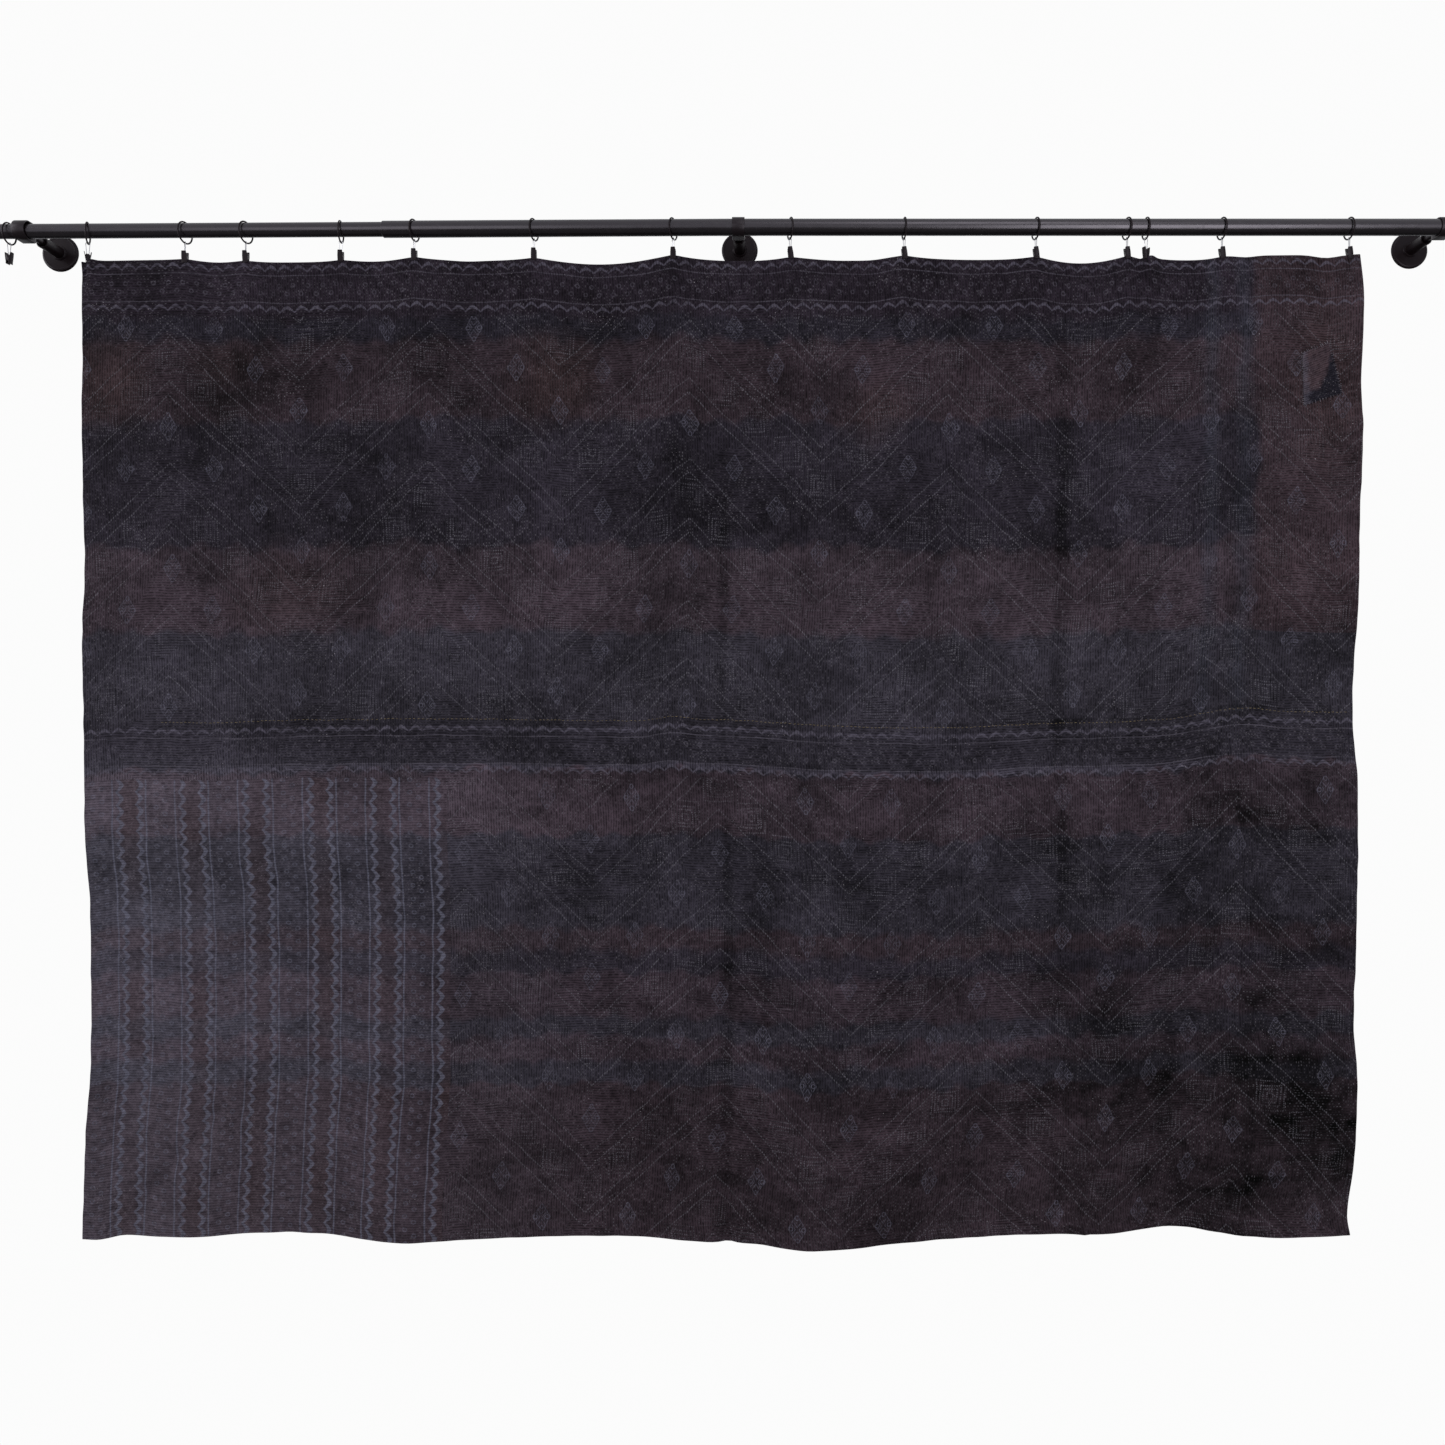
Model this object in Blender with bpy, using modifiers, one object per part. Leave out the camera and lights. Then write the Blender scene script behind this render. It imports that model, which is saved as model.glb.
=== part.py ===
"""Kantha quilt hanging by clip rings from a telescoping curtain rod on three wall brackets.

The wall is the plane y = 0 and the room lies towards -Y. Z is up. The origin is the centre of
the middle wall plate's back face. Lengths are in metres, and tables in millimetres.
"""

import math
from collections import namedtuple

import bmesh
import bpy
from mathutils import Matrix, Vector

MM = 0.001
GAP = 0.3 * MM
FACE_TO_VIEWER = -1.0

# The rod: a thin tube that slides into a thicker one, 95 mm off the wall.
ROD_Y = -95 * MM
OUTER_TUBE_RADIUS = 12.7 * MM
INNER_TUBE_RADIUS = 11.1 * MM
TUBE_MOUTH_X = -561 * MM
TUBE_OVERLAP = 80 * MM
TUBE_CLEARANCE = 0.5 * MM
SOCKET_DEEPER = 1 * MM
SOCKET_PAST_MOUTH = 11 * MM
ROD_LEFT_END_X = -1205 * MM
ROD_RIGHT_END_X = 1190 * MM
CAP_RADIUS = 14.2 * MM
CAP_LENGTH = 16 * MM
CAP_ROUNDING = 3 * MM

# The rod sags a little: its axis height, from the left end to the right one.
RodPoint = namedtuple("RodPoint", "x_mm axis_height_mm")
ROD_LINE = (
    RodPoint(-1205, -7.1),
    RodPoint(-561, -3.4),
    RodPoint(0, -0.1),
    RodPoint(1190, -0.1),
)

# Each bracket is a wall plate with a sleeve, and a holder whose arm slides in the sleeve. The
# holder's collar is round in front and square behind, and the rod runs through its bore.
Bracket = namedtuple("Bracket", "name x_mm height_mm")
BRACKETS = (
    Bracket("left", -1130, -5.1),
    Bracket("middle", 0, 0),
    Bracket("right", 1114, 0),
)
PLATE_RADIUS = 30 * MM
PLATE_THICKNESS = 4.6 * MM
HUB_RADIUS = 12 * MM
SLEEVE_RADIUS = 9.2 * MM
SLEEVE_LENGTH = 50 * MM
SLEEVE_BORE_RADIUS = 5.6 * MM
SLEEVE_BORE_START = 20 * MM
MOUTH_RADIUS = 7.3 * MM
MOUTH_DEPTH = 5 * MM
ARM_RADIUS = 5.2 * MM
ARM_OFF_BORE_END = 4 * MM
ARM_IN_COLLAR = 2 * MM
COLLAR_BORE_RADIUS = 13.1 * MM
COLLAR_RADIUS = 14.9 * MM
COLLAR_BACK = 78 * MM
COLLAR_WIDTH = 19.8 * MM
COLLAR_BORE_SIDES = 40
COLLAR_FRONT_STEPS = 16
TURNED_STEPS = 24

# Rings, wire links and clips.
RING_RADIUS = 16.25 * MM
RING_WIRE_RADIUS = 1.25 * MM
RING_STEPS = 18
RING_WIRE_SIDES = 6
LINK_WIRE_RADIUS = 0.6 * MM
LINK_TOP_RADIUS = 3.6 * MM
LINK_FOOT_RADIUS = 1.8 * MM
LINK_BELOW_PIN = 0.7 * MM
LINK_ARC_STEPS = 5
RING_TO_PIN = 19.75 * MM
CLIP_WIDTH = 8.6 * MM
FREE_RING_X = -1151.8 * MM

# Half of the clip seen along its pin, from the cloth slot round to the notch between the handles.
ClipPoint = namedtuple("ClipPoint", "out_mm up_mm")
CLIP_HALF = (
    ClipPoint(1.85, -4.0),
    ClipPoint(1.85, -12.0),
    ClipPoint(3.2, -12.0),
    ClipPoint(5.4, 6.2),
    ClipPoint(4.0, 6.7),
    ClipPoint(2.2, -1.4),
)

# The quilt. Its tables count from this datum, along to the right and down.
QUILT_LEFT_X = -1037.1 * MM
QUILT_TOP_Z = -51.6 * MM
QUILT_WIDTH_MM = 2013.0
QUILT_DROP_MM = 1545.0
SEAM_DROP_MM = 730.0
QUILT_THICKNESS = 3 * MM

# One row for each clip on the cloth: where it is, how far the edge there lies below the datum,
# how far below midway to the next clip, how far the cloth bellies forward there, and the turn
# of the clip and of its ring about the vertical.
Clip = namedtuple("Clip", "along edge_mm midway_mm belly_mm clip_turn_deg ring_turn_deg")
CLIPS = (
    Clip(9.5, 1.0, 2.0, 3, -61, 20),
    Clip(163, -1.6, 3.2, -3, 1, -11),
    Clip(259, 1.0, 6.0, 5, -2, -13),
    Clip(409, 0.0, 1.6, -3, 2, 6),
    Clip(525, -4.7, 3.2, 4, -1, -11),
    Clip(714, -3.5, 5.2, -6, 1, -14),
    Clip(934, -8.2, 3.8, 5, -2, -18),
    Clip(1119, -4.7, -0.5, -5, 2, 14),
    Clip(1299, -7.1, 2.5, 6, 1, 5),
    Clip(1507, -5.4, 4.7, -3, -1, 9),
    Clip(1651, -6.3, -4.5, 0, 1, 9),
    Clip(1681, -5.4, 2.4, 4, -61, 3),
    Clip(1801, -5.4, -9.2, -5, 1, 5),
    Clip(2002, -7.9, -9.0, 0, -1, 1),
)

# Outlines: how far the seam and the lower edge lie below their levels, and how far the two
# side edges lie to the right of theirs.
Offset = namedtuple("Offset", "at_mm offset_mm")
SEAM_LINE = tuple(Offset(*row) for row in (
    (0, 6), (70, 3), (200, 4), (350, 0), (590, -2), (880, 1), (932, -6), (975, -2),
    (1062, 2), (1150, 8), (1305, 12), (1400, 11), (1500, 6), (1711, -1), (1770, -11),
    (1834, -19), (1894, -14), (2013, -12),
))
LOWER_EDGE = tuple(Offset(*row) for row in (
    (0, 2), (25, 3), (70, -5), (158, 0), (300, -6), (389, -5), (504, 5), (679, -1),
    (877, -2), (965, 5), (1029, 4), (1073, 5), (1139, 12), (1183, 11), (1307, 4),
    (1499, -6), (1572, -6), (1632, -4), (1711, -11), (1751, -11), (1795, -6),
    (1844, -2), (1953, -5), (2013, -6),
))
LEFT_EDGE = tuple(Offset(*row) for row in (
    (0, 1.6), (111, -1.6), (379, -2.4), (727, 0), (885, 3), (983, 14), (1150, 12),
    (1261, 16), (1371, 5), (1545, 0),
))
RIGHT_EDGE = tuple(Offset(*row) for row in (
    (0, 6), (66, 12), (215, 8), (275, 11), (412, 6), (559, 3), (608, -1), (687, -6),
    (757, -5), (845, 2), (1082, -1), (1215, -6), (1294, 0), (1428, -5), (1512, -17),
    (1545, -11),
))

# Broad swells of the hanging cloth: where the swell is deepest and how far it comes forward.
Swell = namedtuple("Swell", "along drop forward_mm half_width half_height")
SWELLS = (
    Swell(1160, 1545, 18, 130, 420),
    Swell(1720, 1545, -16, 90, 380),
    Swell(300, 1500, -7, 120, 500),
    Swell(500, 1400, 8, 70, 350),
    Swell(1930, 1350, 8, 80, 450),
    Swell(860, 1200, -6, 110, 400),
    Swell(1390, 700, 6, 110, 300),
    Swell(640, 500, 5, 120, 300),
    Swell(230, 800, 5, 90, 260),
)

# Creases: soft lines from one end to the other, as troughs or ridges. One that runs over the
# lower edge has its end below it.
Crease = namedtuple("Crease", "along_0 drop_0 along_1 drop_1 forward_mm half_width")
CREASES = (
    Crease(1018, 790, 1022, 1665, -7, 13),
    Crease(1545, 25, 1543, 730, -6, 12),
    Crease(731, 70, 730, 720, -3, 16),
    Crease(512, 60, 520, 700, 2.5, 18),
    Crease(500, 990, 512, 1420, -6, 18),
    Crease(629, 1212, 1450, 1216, -4, 14),
    Crease(1553, 1512, 1593, 1540, 4, 9),
)

# The two clips that stand side-on grip the cloth where it turns in a small S.
S_FOLDS_AT_MM = (9.5, 1681)
S_FOLD_DEPTH_MM = 8.0
S_FOLD_REACH_MM = 7.0
S_FOLD_FADE_MM = 38.0

# Going down, the bow of the upper edge fades out, and a crease fades near its two ends.
BELLY_FADE_MM = 190.0
CREASE_END_SHARE = 0.125

# The mend near the upper right corner, as corners counted from the quilt's datum.
Corner = namedtuple("Corner", "along drop")
PATCH_CORNERS = (Corner(1922, 229), Corner(1931, 145), Corner(1967, 131), Corner(1991, 210))
PATCH_THICKNESS = 1 * MM
PATCH_GAP = 0.5 * MM
PATCH_CUTS = 4

COLUMN_PITCH_MM = 60.0
COLUMN_LEAST_MM = 9.0
CLIP_COLUMNS_MM = (-6.5, 6.5)
S_FOLD_COLUMNS_MM = (-22, -15, -10.5, -7, -4.5, -2.2, 0, 2.2, 4.5, 7, 10.5, 15, 22)
CREASE_COLUMNS_MM = (-14, 0, 14)
ROW_DROPS_MM = (
    0, 10, 24, 46, 84, 150, 250, 370, 490, 610, 730, 850, 970, 1090, 1214, 1310, 1430,
    1545,
)


def clear_scene():
    for obj in list(bpy.data.objects):
        bpy.data.objects.remove(obj, do_unlink=True)


def collection(name):
    made = bpy.data.collections.new(name)
    bpy.context.scene.collection.children.link(made)
    return made


def material(name, colour, roughness, metallic=0.0):
    made = bpy.data.materials.new(name)
    made.use_nodes = True
    shader = made.node_tree.nodes["Principled BSDF"]
    shader.inputs["Base Color"].default_value = (*colour, 1.0)
    shader.inputs["Roughness"].default_value = roughness
    shader.inputs["Metallic"].default_value = metallic
    return made


def settle(obj, name, home, finish=None):
    """Names an object, moves it to its collection and gives it its material."""
    obj.name = name
    for old in list(obj.users_collection):
        old.objects.unlink(obj)
    home.objects.link(obj)
    if finish is not None:
        obj.data.materials.clear()
        obj.data.materials.append(finish)
    return obj


def as_helper(obj, name, home):
    settle(obj, name, home)
    obj.hide_render = True
    obj.display_type = "WIRE"
    return obj


def mesh_object(name, mesh):
    return bpy.data.objects.new(name, mesh)


def bevel(obj, width, segments=2):
    rounding = obj.modifiers.new("rounding", "BEVEL")
    rounding.width = width
    rounding.segments = segments
    rounding.limit_method = "ANGLE"
    return obj


def boolean(obj, other, operation):
    cut = obj.modifiers.new(operation.lower(), "BOOLEAN")
    cut.operation = operation
    cut.solver = "EXACT"
    cut.object = other


def cylinder(radius, length, centre, axis, sides=TURNED_STEPS):
    """A cylinder about its centre, along an axis given as a vector."""
    turn = Vector(axis).to_track_quat("Z", "Y")
    bpy.ops.mesh.primitive_cylinder_add(vertices=sides, radius=radius, depth=length, location=centre)
    obj = bpy.context.object
    obj.rotation_euler = turn.to_euler()
    return obj


def smooth_through(table, at):
    """A smooth curve through the rows of a table, read at one place."""
    places = [row.at_mm for row in table]
    if at <= places[0]:
        return table[0].offset_mm
    if at >= places[-1]:
        return table[-1].offset_mm
    i = max(k for k in range(len(table) - 1) if places[k] <= at)
    before, here, there, after = (table[min(max(k, 0), len(table) - 1)] for k in range(i - 1, i + 3))
    span = there.at_mm - here.at_mm
    slope_here = (there.offset_mm - before.offset_mm) / (there.at_mm - before.at_mm)
    slope_there = (after.offset_mm - here.offset_mm) / (after.at_mm - here.at_mm)
    t = (at - here.at_mm) / span
    return (
        (1 + 2 * t) * (1 - t) ** 2 * here.offset_mm
        + t * (1 - t) ** 2 * span * slope_here
        + t * t * (3 - 2 * t) * there.offset_mm
        + t * t * (t - 1) * span * slope_there
    )


def rod_height(x):
    """Height of the rod's axis, which is straight between the points of ROD_LINE."""
    at = x / MM
    for first, second in zip(ROD_LINE, ROD_LINE[1:]):
        if at <= second.x_mm or second is ROD_LINE[-1]:
            t = (at - first.x_mm) / (second.x_mm - first.x_mm)
            return (first.axis_height_mm + t * (second.axis_height_mm - first.axis_height_mm)) * MM


def upper_edge(along):
    """How far the quilt's upper edge lies below the datum: it hangs in a bow between clips."""
    if along <= CLIPS[0].along:
        return CLIPS[0].edge_mm
    if along >= CLIPS[-1].along:
        t = min(1.0, (along - CLIPS[-1].along) / (QUILT_WIDTH_MM - CLIPS[-1].along))
        return CLIPS[-1].edge_mm + t * (CLIPS[-1].midway_mm - CLIPS[-1].edge_mm)
    for here, there in zip(CLIPS, CLIPS[1:]):
        if along <= there.along:
            t = (along - here.along) / (there.along - here.along)
            level = here.edge_mm + t * (there.edge_mm - here.edge_mm)
            bow = here.midway_mm - 0.5 * (here.edge_mm + there.edge_mm)
            return level + 4 * bow * t * (1 - t)


def belly(along, drop):
    """Between two clips the upper edge bows forward or back, which fades out below."""
    for here, there in zip(CLIPS, CLIPS[1:]):
        if here.along < along < there.along:
            t = (along - here.along) / (there.along - here.along)
            return here.belly_mm * math.sin(math.pi * t) ** 2 * math.exp(-drop / BELLY_FADE_MM)
    return 0.0


def crease_depth(crease, along, drop):
    start = Vector((crease.along_0, crease.drop_0))
    run = Vector((crease.along_1, crease.drop_1)) - start
    here = Vector((along, drop)) - start
    t = here.dot(run) / run.dot(run)
    aside = (here - run * min(1.0, max(0.0, t))).length
    fade = min(1.0, max(0.0, min(t, 1 - t)) / CREASE_END_SHARE)
    return crease.forward_mm * fade * math.exp(-((aside / crease.half_width) ** 2))


def s_fold(along, drop):
    total = 0.0
    for at in S_FOLDS_AT_MM:
        u = (along - at) / S_FOLD_REACH_MM
        fade = math.exp(-((drop / S_FOLD_FADE_MM) ** 2))
        total += S_FOLD_DEPTH_MM * fade * u * math.exp(0.5 - 0.5 * u * u)
    return total


def forward(along, drop):
    """How far the cloth stands towards the viewer, in millimetres."""
    total = belly(along, drop) + s_fold(along, drop)
    for swell in SWELLS:
        across = (along - swell.along) / swell.half_width
        down = (drop - swell.drop) / swell.half_height
        total += swell.forward_mm * math.exp(-across * across - down * down)
    for crease in CREASES:
        total += crease_depth(crease, along, drop)
    return total


def cloth_point(along, drop, lift=0.0):
    """The middle of the cloth at a place counted from the datum, lifted towards the viewer."""
    stand = forward(along, drop) * MM + lift
    return Vector((QUILT_LEFT_X + along * MM, ROD_Y + FACE_TO_VIEWER * stand, QUILT_TOP_Z - drop * MM))


def hung(fraction, level):
    """Along and drop of a grid point: a fraction of the width, at a level in millimetres."""
    left = smooth_through(LEFT_EDGE, level)
    right = QUILT_WIDTH_MM + smooth_through(RIGHT_EDGE, level)
    along = left + fraction * (right - left)
    seam = SEAM_DROP_MM + smooth_through(SEAM_LINE, along)
    if level <= SEAM_DROP_MM:
        top = upper_edge(along)
        return along, top + (seam - top) * level / SEAM_DROP_MM
    foot = QUILT_DROP_MM + smooth_through(LOWER_EDGE, along)
    t = (level - SEAM_DROP_MM) / (QUILT_DROP_MM - SEAM_DROP_MM)
    return along, seam + (foot - seam) * t


def column_fractions():
    """Columns of the cloth's grid as fractions of its width, closer at the clips, the S folds
    and the long creases."""
    left = smooth_through(LEFT_EDGE, 0)
    width = QUILT_WIDTH_MM + smooth_through(RIGHT_EDGE, 0) - left
    fine = {at + step for at in S_FOLDS_AT_MM for step in S_FOLD_COLUMNS_MM}
    held_flat = [clip.along for clip in CLIPS if clip.along not in S_FOLDS_AT_MM]
    fine |= {at + step for at in held_flat for step in CLIP_COLUMNS_MM}
    for crease in CREASES:
        if abs(crease.along_0 - crease.along_1) < crease.half_width:
            fine |= {crease.along_0 + step for step in CREASE_COLUMNS_MM}
    fine = {(at - left) / width for at in fine}
    fine = {at for at in fine if 0 < at < 1}
    count = round(width / COLUMN_PITCH_MM)
    even = {i / count for i in range(1, count)}
    spare = {at for at in even if min(abs(at - near) for near in fine) * width > COLUMN_LEAST_MM}
    return sorted(fine | spare | {0.0, 1.0})


def shaped_grid(columns, rows, place):
    """A flat grid whose points are moved to place(column, row)."""
    wide, high = len(columns) - 1, len(rows) - 1
    bpy.ops.mesh.primitive_grid_add(x_subdivisions=wide, y_subdivisions=high, size=1)
    obj = bpy.context.object
    for vertex in obj.data.vertices:
        i = round((vertex.co.x + 0.5) * wide)
        j = round((0.5 - vertex.co.y) * high)
        vertex.co = place(columns[i], rows[j])
    return obj


def thicken(obj, thickness):
    shell = obj.modifiers.new("thickness", "SOLIDIFY")
    shell.thickness = thickness
    shell.offset = 0.0
    shell.use_rim = True


def make_quilt(home, finish):
    obj = shaped_grid(
        column_fractions(), ROW_DROPS_MM, lambda across, level: cloth_point(*hung(across, level))
    )
    thicken(obj, QUILT_THICKNESS)
    return settle(obj, "quilt", home, finish)


def make_patch(home, finish):
    """A small sewn-on quadrilateral that follows the cloth just in front of it."""
    lift = QUILT_THICKNESS / 2 + PATCH_THICKNESS / 2 + PATCH_GAP
    steps = [i / PATCH_CUTS for i in range(PATCH_CUTS + 1)]
    foot_left, top_left, top_right, foot_right = (Vector(corner) for corner in PATCH_CORNERS)

    def place(s, t):
        at = top_left.lerp(top_right, s).lerp(foot_left.lerp(foot_right, s), t)
        return cloth_point(at.x, at.y, lift)

    obj = shaped_grid(steps, steps, place)
    thicken(obj, PATCH_THICKNESS)
    return settle(obj, "mend_patch", home, finish)


def tube_curve(name, points, radius, resolution=6, cyclic=False):
    """A round tube or wire along a line of points, with flat caps where it ends."""
    data = bpy.data.curves.new(name, "CURVE")
    data.dimensions = "3D"
    data.bevel_depth = radius
    data.bevel_resolution = resolution
    data.use_fill_caps = not cyclic
    spline = data.splines.new("POLY")
    spline.points.add(len(points) - 1)
    for target, point in zip(spline.points, points):
        target.co = (*point, 1.0)
    spline.use_cyclic_u = cyclic
    return bpy.data.objects.new(name, data)


def rod_point(x):
    return Vector((x, ROD_Y, rod_height(x)))


def make_rod(home, helpers, finish):
    """The outer tube is made a mesh, so that a socket for the inner one can be cut in it."""
    inner_end = TUBE_MOUTH_X + TUBE_OVERLAP
    inner_points = [rod_point(x) for x in (ROD_LEFT_END_X, inner_end)]
    inner = tube_curve("rod_inner_tube", inner_points, INNER_TUBE_RADIUS)
    settle(inner, "rod_inner_tube", home, finish)
    outer_curve = tube_curve(
        "outer", [rod_point(x) for x in (TUBE_MOUTH_X, 0.0, ROD_RIGHT_END_X)], OUTER_TUBE_RADIUS
    )
    bpy.context.scene.collection.objects.link(outer_curve)
    graph = bpy.context.evaluated_depsgraph_get()
    mesh = bpy.data.meshes.new_from_object(outer_curve.evaluated_get(graph))
    outer = mesh_object("rod_outer_tube", mesh)
    outer.matrix_world = outer_curve.matrix_world
    bpy.data.objects.remove(outer_curve, do_unlink=True)
    welder = bmesh.new()
    welder.from_mesh(mesh)
    bmesh.ops.remove_doubles(welder, verts=welder.verts, dist=0.00001)
    welder.to_mesh(mesh)
    welder.free()
    settle(outer, "rod_outer_tube", home, finish)
    start, end = rod_point(ROD_LEFT_END_X), rod_point(inner_end)
    run = (end - start).normalized()
    socket_length = SOCKET_DEEPER + TUBE_OVERLAP + SOCKET_PAST_MOUTH
    middle = end + run * (SOCKET_DEEPER - socket_length / 2)
    socket = cylinder(INNER_TUBE_RADIUS + TUBE_CLEARANCE, socket_length, middle, run)
    boolean(outer, as_helper(socket, "socket_cutter", helpers), "DIFFERENCE")


def make_end_caps(home, finish):
    for name, x, way in (("left", ROD_LEFT_END_X, -1), ("right", ROD_RIGHT_END_X, 1)):
        centre = rod_point(x) + Vector((way * (CAP_LENGTH / 2 + GAP), 0, 0))
        cap = cylinder(CAP_RADIUS, CAP_LENGTH, centre, (1, 0, 0))
        settle(bevel(cap, CAP_ROUNDING), f"end_cap_{name}", home, finish)


def make_wall_plate(bracket, home, finish):
    """Plate, hub and sleeve are one turned piece, with a bore for the holder's arm."""
    profile = (
        (0, SLEEVE_BORE_START),
        (SLEEVE_BORE_RADIUS, SLEEVE_BORE_START),
        (SLEEVE_BORE_RADIUS, SLEEVE_LENGTH - MOUTH_DEPTH),
        (MOUTH_RADIUS, SLEEVE_LENGTH - MOUTH_DEPTH),
        (MOUTH_RADIUS, SLEEVE_LENGTH),
        (SLEEVE_RADIUS - 0.4 * MM, SLEEVE_LENGTH),
        (SLEEVE_RADIUS, SLEEVE_LENGTH - 0.4 * MM),
        (SLEEVE_RADIUS, PLATE_THICKNESS + 3.5 * MM),
        (SLEEVE_RADIUS + 1.2 * MM, PLATE_THICKNESS + 1.6 * MM),
        (HUB_RADIUS, PLATE_THICKNESS + 0.8 * MM),
        (HUB_RADIUS + 0.3 * MM, PLATE_THICKNESS),
        (PLATE_RADIUS - 3 * MM, PLATE_THICKNESS),
        (PLATE_RADIUS - 0.8 * MM, PLATE_THICKNESS - 1 * MM),
        (PLATE_RADIUS, PLATE_THICKNESS - 2.2 * MM),
        (PLATE_RADIUS, 0),
        (0, 0),
    )
    mesh = bpy.data.meshes.new("wall_plate")
    mesh.from_pydata([(r, 0, h) for r, h in profile], [(i, i + 1) for i in range(len(profile) - 1)], [])
    plate = mesh_object("wall_plate", mesh)
    turning = plate.modifiers.new("turning", "SCREW")
    turning.steps = turning.render_steps = TURNED_STEPS
    turning.use_merge_vertices = True
    turning.merge_threshold = 0.00005
    plate.location = (bracket.x_mm * MM, 0, bracket.height_mm * MM)
    plate.rotation_euler = (math.radians(90), 0, 0)
    settle(plate, f"wall_plate_{bracket.name}", home, finish)


def collar_block(x, z):
    """The collar before it is bored: half round in front of the rod's axis, square behind it."""
    outline = [(-COLLAR_BACK, z + COLLAR_RADIUS)]
    for step in range(COLLAR_FRONT_STEPS + 1):
        turn = math.pi * step / COLLAR_FRONT_STEPS
        front = ROD_Y - COLLAR_RADIUS * math.sin(turn)
        outline.append((front, z + COLLAR_RADIUS * math.cos(turn)))
    outline.append((-COLLAR_BACK, z - COLLAR_RADIUS))
    left, right = x - COLLAR_WIDTH / 2, x + COLLAR_WIDTH / 2
    shape = bmesh.new()
    side = shape.faces.new([shape.verts.new((left, y, height)) for y, height in outline])
    swept = bmesh.ops.extrude_face_region(shape, geom=[side])["geom"]
    corners = [item for item in swept if isinstance(item, bmesh.types.BMVert)]
    bmesh.ops.translate(shape, verts=corners, vec=(right - left, 0, 0))
    bmesh.ops.recalc_face_normals(shape, faces=shape.faces)
    mesh = bpy.data.meshes.new("collar_block")
    shape.to_mesh(mesh)
    shape.free()
    return mesh_object("collar_block", mesh)


def make_rod_holder(bracket, home, helpers, finish):
    """An arm and a collar round the rod, joined into one piece."""
    x, z = bracket.x_mm * MM, bracket.height_mm * MM
    holder = collar_block(x, z)
    arm_back = SLEEVE_BORE_START + ARM_OFF_BORE_END
    arm_length = COLLAR_BACK + ARM_IN_COLLAR - arm_back
    arm = cylinder(ARM_RADIUS, arm_length, (x, -arm_back - arm_length / 2, z), (0, -1, 0))
    bore = cylinder(
        COLLAR_BORE_RADIUS, 2 * COLLAR_WIDTH, (x, ROD_Y, z), (1, 0, 0), COLLAR_BORE_SIDES
    )
    boolean(holder, as_helper(arm, f"arm_{bracket.name}", helpers), "UNION")
    boolean(holder, as_helper(bore, f"collar_bore_{bracket.name}", helpers), "DIFFERENCE")
    settle(holder, f"rod_holder_{bracket.name}", home, finish)


def ring_centre(x):
    """The ring hangs on the top of the tube that it is on."""
    tube = INNER_TUBE_RADIUS if x < TUBE_MOUTH_X else OUTER_TUBE_RADIUS
    bore = RING_RADIUS - RING_WIRE_RADIUS
    return Vector((x, ROD_Y, rod_height(x) + tube + GAP - bore))


def make_ring(name, x, turn, home, finish):
    bpy.ops.mesh.primitive_torus_add(
        major_radius=RING_RADIUS,
        minor_radius=RING_WIRE_RADIUS,
        major_segments=RING_STEPS,
        minor_segments=RING_WIRE_SIDES,
    )
    ring = bpy.context.object
    place = Matrix.Translation(ring_centre(x)) @ Matrix.Rotation(turn, 4, "Z")
    ring.matrix_world = place @ Matrix.Rotation(math.radians(90), 4, "Y")
    settle(ring, f"ring_{name}", home, finish)


def link_line(length):
    """A closed drop shape in the XZ plane: a wide arc over the ring, a narrow one at the pin."""
    top = Vector((0, 0, -LINK_TOP_RADIUS))
    foot = Vector((0, 0, LINK_FOOT_RADIUS - length))
    points = []
    for centre, radius, start in ((top, LINK_TOP_RADIUS, 0), (foot, LINK_FOOT_RADIUS, 180)):
        radius -= LINK_WIRE_RADIUS
        for i in range(LINK_ARC_STEPS + 1):
            angle = math.radians(start + 180 * i / LINK_ARC_STEPS)
            points.append(centre + Vector((radius * math.cos(angle), 0, radius * math.sin(angle))))
    return points


def make_link(name, x, ring_turn, clip_turn, home, finish):
    """The link lies midway between the ring's wire and the clip's pin, which it joins."""
    wire = math.pi / 2 + ring_turn
    between = (wire - clip_turn + math.pi / 2) % math.pi - math.pi / 2
    normal = clip_turn + between / 2
    wire_middle = ring_centre(x).z - RING_RADIUS
    top = wire_middle + RING_WIRE_RADIUS + GAP + 2 * LINK_WIRE_RADIUS
    foot = wire_middle - RING_TO_PIN - LINK_BELOW_PIN
    place = Matrix.Translation((x, ROD_Y, top)) @ Matrix.Rotation(normal - math.pi / 2, 4, "Z")
    points = [place @ point for point in link_line(top - foot)]
    link = tube_curve("link", points, LINK_WIRE_RADIUS, resolution=1, cyclic=True)
    settle(link, f"link_{name}", home, finish)


def make_clip(name, x, turn, home, finish):
    """Two handles, a bridge at the pin and two jaws astride the cloth, as one extruded outline."""
    outline = [Vector((p.out_mm * MM, p.up_mm * MM)) for p in CLIP_HALF]
    outline += [Vector((-p.x, p.y)) for p in reversed(outline)]
    data = bpy.data.curves.new("clip", "CURVE")
    data.dimensions = "2D"
    data.fill_mode = "BOTH"
    data.extrude = CLIP_WIDTH / 2
    spline = data.splines.new("POLY")
    spline.points.add(len(outline) - 1)
    for target, point in zip(spline.points, outline):
        target.co = (point.x, point.y, 0, 1)
    spline.use_cyclic_u = True
    clip = bpy.data.objects.new("clip", data)
    pin = ring_centre(x) - Vector((0, 0, RING_RADIUS + RING_TO_PIN))
    upright = Matrix.Rotation(math.radians(90), 4, "Z") @ Matrix.Rotation(math.radians(90), 4, "X")
    clip.matrix_world = Matrix.Translation(pin) @ Matrix.Rotation(turn, 4, "Z") @ upright
    settle(clip, f"clip_{name}", home, finish)


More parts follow.
